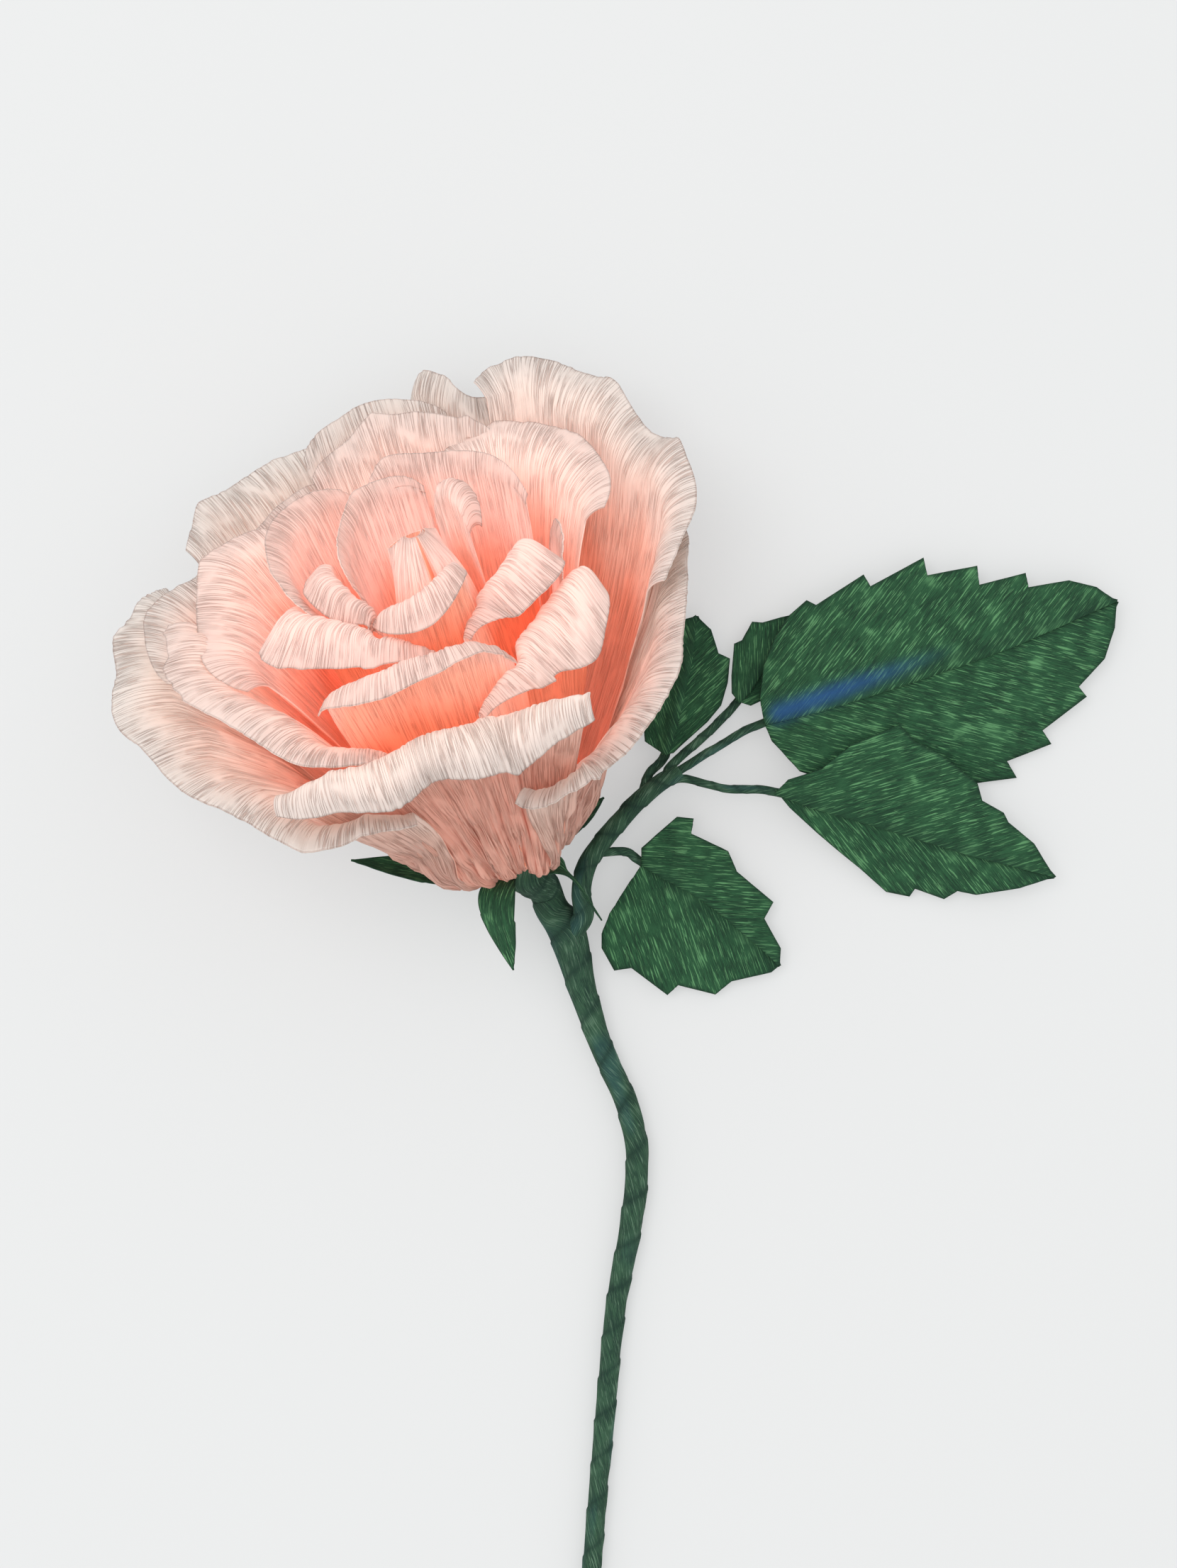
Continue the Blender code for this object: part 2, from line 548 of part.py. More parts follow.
def build():
    for old in list(bpy.data.objects):
        bpy.data.objects.remove(old, do_unlink=True)
    rose = bpy.data.objects.new("rose", None)
    head = bpy.data.objects.new("head", None)
    for empty in (rose, head):
        bpy.context.collection.objects.link(empty)
    head.parent = rose
    turn = Euler((math.radians(-HEAD_LEAN), 0, math.radians(HEAD_TURN)))
    head.rotation_euler = turn

    petal_inner = ((0.93, 0.42, 0.30), 0.75)
    petal_outer = ((0.90, 0.70, 0.62), 0.75)
    leaf_green = ((0.045, 0.13, 0.06), 0.8)
    stem_green = ((0.09, 0.20, 0.13), 0.8)

    # the head, worked out in its own frame
    bud_points, bud_faces = rolled_bud()
    add_object("rolled_bud", bud_points, bud_faces, head, petal_inner)
    points = [tuple(p) for p in bud_points]
    faces = [tuple(f) for f in bud_faces]
    head_points = [points]
    for number, spec in enumerate(PETALS, 1):
        tree = BVHTree.FromPolygons(points, faces)
        for allowance in FACET_ALLOWANCES:
            solid, solid_faces = thicken(press_outward(spec, tree, allowance), PETAL_PAPER)
            if not tree.overlap(BVHTree.FromPolygons([tuple(p) for p in solid], solid_faces)):
                break
        share = (number / len(PETALS)) ** 0.8
        colour = tuple(a + (b - a) * share for a, b in zip(petal_inner[0], petal_outer[0]))
        add_object(f"petal_{number:02d}", solid, solid_faces, head, (colour, 0.75))
        first = len(points)
        points = points + [tuple(p) for p in solid]
        faces = faces + [tuple(first + i for i in f) for f in solid_faces]
        head_points.append(solid)

    # the head rests on its lowest petal
    matrix = turn.to_matrix()
    lowest = min((matrix @ Vector(p)).z for p in points)
    head_height = BENCH_CLEARANCE - lowest
    head.location = (HEAD_PLACE[0] * MM, HEAD_PLACE[1] * MM, head_height * MM)

    for number, spec in enumerate(SEPALS, 1):
        solid, solid_faces = thicken(sepal_sheet(*spec), LEAF_PAPER)
        add_object(f"sepal_{number}", solid, solid_faces, head, leaf_green)

    # the stem: from the cone under the petals to the cut end
    to_bench = Matrix.Translation((*HEAD_PLACE, head_height)) @ matrix.to_4x4()
    cone = [(*(to_bench @ Vector((0, 0, height))), radius)
            for height, radius in ((CONE_TOP, CONE_RADIUS), (CONE_TOP - CONE_HEIGHT, CONE_NECK))]
    line = smooth_route(cone + STEM, STEM_RINGS, STEM_CROWD)
    bore = np.full(STEM_RINGS, STEM_WIRE_RADIUS + WRAP_MARGIN)
    add_object("stem_wrap", *sleeve(line[:, :3], line[:, 3], bore, STEM_SIDES), rose, stem_green)
    wire_top = np.array(to_bench @ Vector((0, 0, BUD_BOTTOM - GAP)))
    last = line[-1, :3] - line[-2, :3]
    tail = line[-1, :3] + last / np.linalg.norm(last) * WIRE_TAIL
    wire = np.concatenate([[wire_top], line[:, :3], [tail]])
    add_object("stem_wire", *rod(wire, np.full(len(wire), STEM_WIRE_RADIUS), WIRE_SIDES), rose,
               ((0.25, 0.27, 0.25), 0.5))

    # the leaf
    stalk = smooth_route(LEAF_STALK, 12)
    stalk_radii = np.linspace(*LEAF_STALK_RADIUS, len(stalk))
    add_object("leaf_stalk", *rod(stalk, stalk_radii, 8), rose, stem_green)
    for number, spec in enumerate(LEAFLETS, 1):
        add_object(f"leaf_wire_{number}", *leaflet_wire(spec, stalk, stalk_radii), rose, stem_green)
        for side, word in ((1, "left"), (-1, "right")):
            solid, solid_faces = thicken(leaflet_half(spec, side), LEAF_PAPER)
            add_object(f"{spec['name']}_{word}", solid, solid_faces, rose, leaf_green)

    # the origin is the middle of the footprint, on the bench
    bpy.context.view_layer.update()
    corners = [o.matrix_world @ v.co for o in bpy.data.objects if o.type == "MESH" for v in o.data.vertices]
    low = Vector([min(c[i] for c in corners) for i in range(3)])
    high = Vector([max(c[i] for c in corners) for i in range(3)])
    rose.location = (-(low.x + high.x) / 2, -(low.y + high.y) / 2, -low.z)


build()
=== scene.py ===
# %% [markdown]
# # A rose of crepe paper
# Crepe paper is thin, soft and creased in one direction only, so it stretches across its creases and
# not along them. The maker cuts every petal with the creases running from its foot to its rim, cups it
# with both thumbs, and rolls the rim outward round a pencil. This lesson builds that rose on top of a
# plain frame of solids that is already in the right place. It starts with the frame itself.

# %% The frame
import math

import bpy
import numpy as np
from mathutils import Euler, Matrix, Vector
from mathutils.bvhtree import BVHTree


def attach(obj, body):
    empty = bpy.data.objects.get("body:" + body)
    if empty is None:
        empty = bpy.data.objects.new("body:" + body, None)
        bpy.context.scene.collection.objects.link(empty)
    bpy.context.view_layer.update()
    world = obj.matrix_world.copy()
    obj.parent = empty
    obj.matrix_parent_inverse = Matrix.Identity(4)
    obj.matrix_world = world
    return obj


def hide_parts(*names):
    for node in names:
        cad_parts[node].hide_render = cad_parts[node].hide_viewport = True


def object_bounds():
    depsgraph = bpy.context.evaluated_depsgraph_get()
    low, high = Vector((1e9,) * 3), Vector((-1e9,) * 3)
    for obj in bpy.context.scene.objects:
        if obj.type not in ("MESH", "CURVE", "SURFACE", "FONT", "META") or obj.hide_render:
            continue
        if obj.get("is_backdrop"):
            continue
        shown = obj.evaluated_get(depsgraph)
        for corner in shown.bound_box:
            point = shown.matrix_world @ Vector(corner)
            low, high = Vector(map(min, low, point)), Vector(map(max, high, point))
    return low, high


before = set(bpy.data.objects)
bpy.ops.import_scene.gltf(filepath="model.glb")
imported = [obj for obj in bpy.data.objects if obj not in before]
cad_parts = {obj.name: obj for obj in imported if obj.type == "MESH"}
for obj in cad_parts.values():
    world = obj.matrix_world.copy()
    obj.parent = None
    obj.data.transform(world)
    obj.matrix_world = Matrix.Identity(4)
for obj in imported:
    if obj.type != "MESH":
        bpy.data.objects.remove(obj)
frame_low, frame_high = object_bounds()
print("frame", [round(1000 * c) for c in frame_high - frame_low], "mm,", len(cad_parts), "solids")

# %% [markdown]
# Everything below is worked out in millimetres, in one of two places. The flower is drawn upright round
# its own axis, as the maker holds it, and then leaned over. The stem and the leaf are drawn on the bench.
# The frame's rolled bud shows where the flower's foot is: its flat lower end is a ring round the axis.

# %% Where the flower and the bench are
MM = 0.001
HEAD_PLACE = np.array([-13.9, -15.6])
HEAD_LEAN, HEAD_TURN = 55.0, 16.5
BUD_BOTTOM, BUD_TOP, BUD_RADIUS = 1.5, 79.0, 8.4

head_turn = np.array(Euler((math.radians(-HEAD_LEAN), 0, math.radians(HEAD_TURN))).to_matrix())
bud_points = np.array([v.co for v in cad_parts["rolled_bud"].data.vertices]) / MM
bud_heights = bud_points @ head_turn[:, 2]
bud_ring = np.unique(bud_points[bud_heights < bud_heights.min() + 0.01].round(4), axis=0)
head_foot = bud_ring.mean(axis=0) - head_turn[:, 2] * BUD_BOTTOM
bench_shift = np.array([*(head_foot[:2] - HEAD_PLACE), 0.0])
print("flower's foot at", head_foot.round(1), "bench shifted by", bench_shift.round(1))

# %% [markdown]
# Paper is never perfectly smooth. A table of fixed numbers, read with smooth steps between its entries,
# gives gentle hills that are the same on every run. Stretched in one direction, the same hills become
# long creases, which is all that crepe paper is. Three sizes are laid over each other: sharp folds, finer
# threads between them, and broad swells where the paper was stretched less.

# %% Smooth noise
def ease(t):
    t = np.clip(t, 0.0, 1.0)
    return t * t * (3 - 2 * t)


NOISE_TABLE = np.random.default_rng(7).random((256, 256)) * 2 - 1


def hills(x, y, seed=0):
    """Smooth hills between -1 and 1, about one unit across."""
    x, y = np.broadcast_arrays(np.asarray(x, float) + 37.7 * seed, np.asarray(y, float) + 11.3 * seed)
    left, low = np.floor(x).astype(int), np.floor(y).astype(int)
    across, up = ease(x - left), ease(y - low)
    a, b = NOISE_TABLE[left & 255, low & 255], NOISE_TABLE[(left + 1) & 255, low & 255]
    c, d = NOISE_TABLE[left & 255, (low + 1) & 255], NOISE_TABLE[(left + 1) & 255, (low + 1) & 255]
    return (a * (1 - across) + b * across) * (1 - up) + (c * (1 - across) + d * across) * up


FOLD_WIDTH, FOLD_LENGTH, FOLD_HEIGHT = 1.25, 12, 0.16
THREAD_WIDTH, THREAD_LENGTH, THREAD_HEIGHT = 0.62, 7, 0.09
SWELL_WIDTH, SWELL_LENGTH, SWELL_HEIGHT = 4.2, 26, 0.20


def crepe(across, along, seed):
    """The creases of crepe paper in millimetres: sharp valleys about 1 mm apart and many times longer."""
    drift = 0.9 * hills(along / 9, across / 14, seed + 1)
    folds = 1 - 2 * np.abs(hills(across / FOLD_WIDTH + drift, along / FOLD_LENGTH, seed))
    threads = hills(across / THREAD_WIDTH - drift, along / THREAD_LENGTH, seed + 2)
    swells = hills(across / SWELL_WIDTH, along / SWELL_LENGTH, seed + 3)
    return FOLD_HEIGHT * folds + THREAD_HEIGHT * threads + SWELL_HEIGHT * swells


print("creases reach", round(float(np.abs(crepe(np.linspace(0, 60, 400), 5.0, 1)).max()), 2), "mm")

# %% [markdown]
# Every sheet of paper here is a grid of points. Reading the grid at more places along smooth curves
# refines it, its normals show which way it faces, and the lengths of its steps say how far along the
# paper a point lies. All of these work on a whole grid at once.

# %% Grids of points
def finer(values, count):
    """The values along their first axis, read at count places on smooth curves through them."""
    last = len(values) - 1
    at = np.linspace(0, last, count)
    k = np.minimum(at.astype(int), last - 1)
    t = (at - k).reshape(-1, *[1] * (values.ndim - 1))
    ends = np.concatenate([[2 * values[0] - values[1]], values, [2 * values[-1] - values[-2]]])
    p0, p1, p2, p3 = ends[k], ends[k + 1], ends[k + 2], ends[k + 3]
    return 0.5 * (2 * p1 + (p2 - p0) * t + (2 * p0 - 5 * p1 + 4 * p2 - p3) * t * t
                  + (3 * p1 - p0 - 3 * p2 + p3) * t ** 3)


def finer_sheet(sheet, rows, columns):
    return finer(finer(sheet, rows).swapaxes(0, 1), columns).swapaxes(0, 1)


def normals(sheet):
    normal = np.cross(np.gradient(sheet, axis=1), np.gradient(sheet, axis=0))
    return normal / np.maximum(np.linalg.norm(normal, axis=2, keepdims=True), 1e-9)


def run_along(sheet):
    """How far each point is from the sheet's first row, along the paper."""
    steps = np.linalg.norm(np.diff(sheet, axis=0), axis=2)
    return np.concatenate([np.zeros((1, sheet.shape[1])), np.cumsum(steps, axis=0)])


print("3 points read at 5 places:", finer(np.array([0.0, 1.0, 4.0]), 5).round(2))

# %% [markdown]
# A mesh is filled straight from arrays, which is much quicker than adding faces one by one. It also
# carries a map in millimetres, across and along the creases, that the materials read, and a colour whose
# three numbers are set aside for what the maker painted and for painted shade and light: see the finishes
# further down.

# %% Points and faces into a mesh
def grid_quads(rows, columns):
    i, j = np.meshgrid(np.arange(rows - 1), np.arange(columns - 1), indexing="ij")
    a = (i * columns + j).reshape(-1)
    return np.stack([a, a + 1, a + columns + 1, a + columns], axis=1)


def make_mesh(name, points, quads, grain, paint):
    """A mesh object from points in millimetres, with its map and its painted numbers."""
    mesh = bpy.data.meshes.new(name)
    mesh.vertices.add(len(points))
    mesh.vertices.foreach_set("co", (np.asarray(points) * MM).astype(np.float32).ravel())
    mesh.loops.add(quads.size)
    mesh.loops.foreach_set("vertex_index", quads.ravel().astype(np.int32))
    mesh.polygons.add(len(quads))
    mesh.polygons.foreach_set("loop_start", np.arange(0, quads.size, 4, dtype=np.int32))
    mesh.update(calc_edges=True)
    mesh.uv_layers.new(name="grain")
    mesh.uv_layers["grain"].data.foreach_set("uv", grain[quads.ravel()].astype(np.float32).ravel())
    layer = mesh.color_attributes.new("paint", "FLOAT_COLOR", "POINT")
    layer.data.foreach_set("color", np.c_[paint, np.ones(len(paint))].astype(np.float32).ravel())
    mesh.polygons.foreach_set("use_smooth", np.ones(len(quads), bool))
    made = bpy.data.objects.new(name, mesh)
    bpy.context.scene.collection.objects.link(made)
    return made


print("a grid of 4 by 3 points has", len(grid_quads(4, 3)), "faces")

# %% [markdown]
# A real sheet has a thickness. Two copies of the grid, moved apart by half of it along the normals and
# joined round the edge, make one closed solid. A finished piece is then handed to the frame, with the
# solid that it stands for.

# %% A sheet with a thickness
def paper(name, sheet, thickness, grain, paint_front, paint_back):
    """A closed solid of paper about the sheet; its front is the side that the normals point to."""
    rows, columns = sheet.shape[:2]
    half = normals(sheet) * thickness / 2
    points = np.concatenate([(sheet + half).reshape(-1, 3), (sheet - half).reshape(-1, 3)])
    quads = grid_quads(rows, columns)
    back = rows * columns
    border = [np.arange(columns), np.arange(1, rows) * columns + columns - 1,
              (rows - 1) * columns + np.arange(columns - 2, -1, -1), np.arange(rows - 2, 0, -1) * columns]
    border = np.concatenate(border)
    after = np.roll(border, -1)
    rim = np.stack([after, border, back + border, back + after], axis=1)
    quads = np.concatenate([quads, quads[:, ::-1] + back, rim])
    flat = grain.reshape(-1, 2)
    return make_mesh(name, points, quads, np.concatenate([flat, flat]),
                     np.concatenate([paint_front.reshape(-1, 3), paint_back.reshape(-1, 3)]))


def on_bench(points):
    return points + bench_shift


def on_head(points):
    return points @ head_turn.T + head_foot


def settle(piece, node, slot):
    """Hands a finished piece to the frame: it stands for one solid and keeps that solid's place."""
    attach(piece, "root")
    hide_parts(node)


print("50 mm up the flower's axis is", on_head(np.array([0, 0, 50.0])).round(1))

# %% [markdown]
# ## The petals
# Twenty-four petals are glued round the bud, and each one is its own piece of paper. A petal is told by
# its rim, given at one corner, at its crown and at the other corner as an angle round the flower, a
# distance from the axis and a height. It leaves the foot leaning outward, is cupped on the way, flares
# below the rim, and ends in a roll. The order is the maker's order, from the heart outward, and it is
# what makes the whorl: each petal covers the gap between two earlier ones.

# %% The petals' rims
INNER_LEAN, OUTER_LEAN = 46.0, 58.0


def petal(start, crown, end, flare, roll, roll_length, roll_growth=0.0, crest=2.4, wave=0.5,
          lean=INNER_LEAN, crease=1.0, tips=(0.45, 0.45), blunt=(2.5, 2.5), flare_growth=0.0):
    """One petal's numbers by name; crease is the share of the roll that bends, tips what its ends keep."""
    return dict(locals())


PETALS = [
    petal((42, 13, 74), (55, 13, 79.5), (70, 12.5, 76), 2, 150, 8),
    petal((82, 26, 77.5), (124, 21.5, 77.5), (165, 13.5, 70), 8, 30, 4, crest=3),
    petal((206, 11.5, 67), (262, 10.5, 73), (318, 9, 73.5), 0, 135, 9, crease=0.55, tips=(0.15, 0.12),
          blunt=(1.6, 1.5)),
    petal((148, 21, 73.5), (174, 16, 72), (205, 11.5, 68), 4, 120, 7.5, crease=0.6, tips=(0.4, 0.25),
          blunt=(5, 2)),
    petal((40, 29, 73), (74, 28, 80), (107, 26.5, 76), 6, 50, 5, crest=3.5),
    petal((286, 11, 64), (334, 11.5, 68), (370, 19.5, 71), 2, 125, 14, 0.3, crease=0.5, tips=(0.2, 0.45),
          blunt=(1.5, 5)),
    petal((106, 35, 73), (142, 31, 77), (188, 17.5, 65), 12, 50, 6),
    petal((168, 26, 71), (207, 17, 68.5), (266, 14, 61.5), 8, 125, 11, -0.45, crease=0.5, tips=(0.45, 0.3),
          blunt=(5, 1.5)),
    petal((206, 28, 58.5), (256, 20, 65), (306, 20, 60), 6, 120, 7.5, -0.3, crease=0.6, tips=(0.35, 0.35),
          blunt=(3, 2)),
    petal((-2, 23, 58), (18, 27, 66), (38, 31, 62), 10, 20, 4),
    petal((276, 20, 52), (324, 18.5, 60), (356, 29, 66), 8, 120, 16, 0.35, crease=0.5, tips=(0.2, 0.45),
          blunt=(1.5, 5)),
    petal((132, 42, 73), (156, 45, 71), (178, 37, 60), 32, 60, 12, wave=0.9, lean=OUTER_LEAN),
    petal((28, 39, 65), (53, 46, 74), (76, 37.5, 76), 34, 60, 12, wave=0.9, lean=OUTER_LEAN),
    petal((162, 49, 68), (192, 41, 62), (236, 24, 50), 34, 60, 12, wave=1.1, lean=OUTER_LEAN),
    petal((66, 45, 74), (90, 48, 80), (112, 48, 75), 16, 30, 7, wave=0.9),
    petal((108, 51.5, 71), (126, 49, 71), (142, 49, 64), 20, 30, 6),
    petal((212, 46, 51), (261, 29, 55), (308, 39, 57), 30, 150, 15, wave=0.9, lean=OUTER_LEAN, crease=0.8,
          tips=(0.35, 0.5), blunt=(4, 6)),
    petal((4, 43, 57), (44, 59, 72), (68, 57, 82), 22, 60, 12, wave=1.1, lean=OUTER_LEAN),
    petal((78, 56, 75), (96, 55, 80), (110, 56.5, 75), 16, 30, 6, wave=0.9),
    petal((134, 54, 68), (153, 57, 67), (170, 54, 59), 34, 40, 9, wave=1.0, lean=OUTER_LEAN),
    petal((58, 61, 70), (74, 57, 79.5), (85, 63, 79), 16, 30, 7, wave=0.9),
    petal((286, 22, 34), (346, 40, 44), (390, 47, 58), 42, 45, 10, wave=1.0, lean=OUTER_LEAN,
          flare_growth=-0.5),
    petal((102, 61, 70), (122, 61.5, 74), (139, 62, 70), 26, 40, 9, wave=1.1),
    petal((149, 63.5, 66), (176, 60, 54), (236, 30, 36), 56, 40, 12, wave=1.4, lean=OUTER_LEAN),
]
print(len(PETALS), "petals")

# %% [markdown]
# Where the rim lies is a smooth curve through the three given places. It also wanders a little, because
# no two thumbs press paper alike: it rises to low rounded peaks between short dips, most of all on the
# loose outer petals, and its corners are rounded off. The roll is as uneven as the rim.

# %% The rim and the roll at one place
PEAK_HEIGHT, PEAK_LENGTH, PEAK_MIDDLE, PEAK_OUTWARD = 4.0, 13, 0.28, 0.6
ROUNDED_CORNER = 3.0
UNEVEN_LENGTH, UNEVEN_ROLL = 0.16, 0.18


def petal_rim(spec, u, seed):
    """At u, -1 to 1 from corner to corner: the rim's angle and place, its flare, and the roll."""
    start, crown, end = (np.array(spec[key], float) for key in ("start", "crown", "end"))
    angle, radius, height = (crown + (end - start) / 2 * u
                             + ((start + end) / 2 - crown) * abs(u) ** spec["crest"])
    width = math.radians(end[0] - start[0]) * crown[1]
    place = (u + 1) * width / 2
    radius += spec["wave"] * float(hills(place / 9, seed * 1.7, seed))
    height += spec["wave"] * float(hills(place / 7, seed * 2.3, seed + 1))
    dip = abs(float(hills(place / PEAK_LENGTH, seed * 2.9, seed + 6)))
    peaks = PEAK_HEIGHT * spec["wave"] * (PEAK_MIDDLE - dip)
    radius, height = radius + PEAK_OUTWARD * peaks, height + peaks
    flare = math.radians(spec["flare"] * (1 + spec["flare_growth"] * u))
    cut = ROUNDED_CORNER * max(0.15, 1.5 - spec["wave"]) * abs(u) ** 8
    radius, height = radius - cut * math.sin(flare), height - cut * math.cos(flare)
    side = 0 if u < 0 else 1
    share = 1 - (1 - spec["tips"][side]) * abs(u) ** spec["blunt"][side]
    length = spec["roll_length"] * (1 + spec["roll_growth"] * u) * share
    length *= 1 + UNEVEN_LENGTH * float(hills(place / 8, seed * 3.1, seed + 2))
    roll = spec["roll"] * (1 + UNEVEN_ROLL * float(hills(place / 10, seed * 1.3, seed + 3)))
    return angle, radius, height, flare, length, roll


first_crown = petal_rim(PETALS[0], 0.0, 1)
print("petal 1 at its crown: angle, radius and height", [round(float(v), 1) for v in first_crown[:3]])

# %% [markdown]
# One section of a petal is a curve in the plane of the axis: a smooth body from the foot to the neck,
# and then a roll that tightens towards the edge. The neck is placed so that the roll's farthest reach
# lies on the rim that was asked for. The body is one cubic curve, given by the directions in which it
# leaves the foot and arrives at the neck, because that bends as evenly as stretched paper does.

# %% One section of a petal
FOOT_RADIUS, FOOT_HEIGHT, FOOT_HALF_WIDTH = 3.9, 2.6, 5.0
PULL = 0.85
ROLL_STEPS = 40


def petal_line(spec, u, seed):
    """The section at u: its angle, its curve, the run along it, and the run at the neck."""
    angle, radius, height, flare, length, roll = petal_rim(spec, u, seed)
    step = length / ROLL_STEPS
    bent = np.minimum(1, (np.arange(ROLL_STEPS) + 0.5) / ROLL_STEPS / spec["crease"]) ** 0.8
    bent = math.radians(roll) * bent
    reach = max(0.0, np.cumsum(np.cos(bent)).max() * step)
    foot = np.array([FOOT_RADIUS, FOOT_HEIGHT])
    neck = np.array([radius - reach * math.sin(flare), height - reach * math.cos(flare)])
    pull = PULL * np.linalg.norm(neck - foot)
    lean = math.radians(spec["lean"])
    t = np.linspace(0, 1, 3 * ROLL_STEPS + 1)[:, None]
    leave = pull * np.array([math.sin(lean), math.cos(lean)])
    arrive = pull * np.array([math.sin(flare), math.cos(flare)])
    body = ((2 * t ** 3 - 3 * t ** 2 + 1) * foot + (t ** 3 - 2 * t ** 2 + t) * leave
            + (3 * t ** 2 - 2 * t ** 3) * neck + (t ** 3 - t ** 2) * arrive)
    turned = np.stack([np.sin(flare + bent), np.cos(flare + bent)], axis=1) * step
    line = np.concatenate([body, neck + np.cumsum(turned, axis=0)])
    run = np.concatenate([[0], np.cumsum(np.linalg.norm(np.diff(line, axis=0), axis=1))])
    return angle, line, run, run[3 * ROLL_STEPS]


print("petal 1 is", round(float(petal_line(PETALS[0], 0.0, 1)[2][-1])), "mm long at its crown")

# %% [markdown]
# Side by side, the sections make the sheet. Near the foot all of them crowd together, because the maker
# gathers the petal there to glue it on. A roll doesn't turn about the flower's axis but about the rim
# itself, so the rolled rows are moved outward square to the rim.

# %% One petal as a sheet
GATHERED = 0.75
RIM_SMOOTHING = 14


def petal_sheet(spec, seed, columns, body_rows, roll_rows):
    sheet = np.zeros((body_rows + roll_rows + 1, columns + 1, 3))
    foot_spread = math.degrees(min(1.2, FOOT_HALF_WIDTH / (FOOT_RADIUS + 2)))
    beyond_neck = np.zeros((roll_rows, columns + 1))
    for j, u in enumerate(np.linspace(-1, 1, columns + 1)):
        angle, line, run, body = petal_line(spec, u, seed)
        rows = np.concatenate([np.linspace(0, body, body_rows, endpoint=False),
                               np.linspace(body, run[-1], roll_rows + 1)])
        radius, height = np.interp(rows, run, line[:, 0]), np.interp(rows, run, line[:, 1])
        beyond_neck[:, j] = radius[body_rows + 1:] - radius[body_rows]
        radius[body_rows + 1:] = radius[body_rows]
        foot_angle = spec["crown"][0] + u * foot_spread
        turn = np.radians(foot_angle + (angle - foot_angle) * ease(rows / body / GATHERED))
        sheet[:, j] = np.stack([radius * np.cos(turn), radius * np.sin(turn), height], axis=1)
    rim = sheet[body_rows, :, :2]
    for _ in range(RIM_SMOOTHING):
        rim = np.concatenate([rim[:1], (rim[:-2] + 2 * rim[1:-1] + rim[2:]) / 4, rim[-1:]])
    rim = np.gradient(rim, axis=0)
    outward = np.stack([rim[:, 1], -rim[:, 0]], axis=1) / np.linalg.norm(rim, axis=1, keepdims=True)
    sheet[body_rows + 1:, :, :2] += beyond_neck[..., None] * outward
    return sheet


print("one petal's grid:", petal_sheet(PETALS[0], 1, 40, 16, 10).shape)

# %% [markdown]
# Two pieces of paper can't be in one place. Before a petal joins the flower, a ray is sent from far
# outside towards the axis at each of its points. Where the ray meets an earlier petal further out than
# this one, this one is moved outward until it clears it, and its neighbouring points follow part of the
# way. That is how the real petals push each other open. Where the sheet leans, a larger move is needed
# for the same clearance.

# %% Pressing a petal outward
CLEARANCE, ALLOWANCE = 0.7, 0.25
FAR = 150.0
MOST_LEAN_SHARE = 2.4
FOLLOWING, FOLLOW_SHARE = 6, 0.9


def spread_out(push, keep):
    padded = np.pad(push, 1, mode="edge")
    around = np.stack([padded[:-2, 1:-1], padded[2:, 1:-1], padded[1:-1, :-2], padded[1:-1, 2:]])
    return np.maximum(push, keep * around.mean(axis=0)), np.maximum(push, around.max(axis=0))


def press_outward(sheet, tree, roll_rows):
    radius, height = np.hypot(sheet[..., 0], sheet[..., 1]), sheet[..., 2]
    angle = np.arctan2(sheet[..., 1], sheet[..., 0])
    lean = np.arctan2(np.abs(np.gradient(radius, axis=0)), np.abs(np.gradient(height, axis=0)) + 1e-6)
    clearance = CLEARANCE * np.minimum(MOST_LEAN_SHARE, 1 / np.cos(lean)) + ALLOWANCE
    push = np.zeros_like(radius)
    for i, j in np.ndindex(*radius.shape):
        out = Vector((math.cos(angle[i, j]), math.sin(angle[i, j]), 0))
        hit = tree.ray_cast(Vector((0, 0, height[i, j])) + out * FAR, -out, FAR)
        if hit[0] is not None:
            push[i, j] = max(0.0, FAR - hit[3] + clearance[i, j] - radius[i, j])
    push = spread_out(push, 1.0)[1]
    for _ in range(FOLLOWING):
        push = spread_out(push, FOLLOW_SHARE)[0]
    push[-roll_rows - 1:] = push[-roll_rows - 1:].max(axis=0)
    sheet = sheet.copy()
    sheet[..., 0] += push * np.cos(angle)
    sheet[..., 1] += push * np.sin(angle)
    return sheet, float(push.max())


print("clearance", CLEARANCE + ALLOWANCE, "mm along the ray where a petal stands upright")

# %% [markdown]
# The bud is a strip of the same paper rolled tight. It makes two turns and a bit and narrows towards its
# foot. At its top the side that faces the viewer is pinched inward and stands a little higher, so the
# opening looks like a slit.

# %% The rolled bud's sheet
BUD_TURNS, BUD_FIRST_ANGLE, BUD_PINCHED_FROM = 2.4, 74.0, 0.76
BUD_FOOT_RADIUS, BUD_FOOT_RISE = 2.2, 0.8


def bud_sheet(rows, columns):
    t, turn = np.meshgrid(np.linspace(0, 1, rows), np.linspace(0, BUD_TURNS, columns), indexing="ij")
    outness = turn / BUD_TURNS
    angle = np.radians(BUD_FIRST_ANGLE) - 2 * math.pi * turn
    near = ease(1.25 - 1.6 * np.sin(angle - math.radians(12)))
    full = BUD_FOOT_RADIUS + (BUD_RADIUS - BUD_FOOT_RADIUS) * ease(t / 0.75)
    pinch = np.clip((t - BUD_PINCHED_FROM) / (1 - BUD_PINCHED_FROM), 0, 1) ** 2.0
    radius = full * (1 - (0.10 + 0.62 * near) * pinch) * (0.55 + 0.45 * outness)
    top = BUD_TOP - 3.9 + 3.2 * near - 1.5 * (1 - outness) * (1 - near)
    foot = BUD_BOTTOM + BUD_FOOT_RISE
    height = foot + (top - foot) * t
    return np.stack([radius * np.cos(angle), radius * np.sin(angle), height], axis=2)


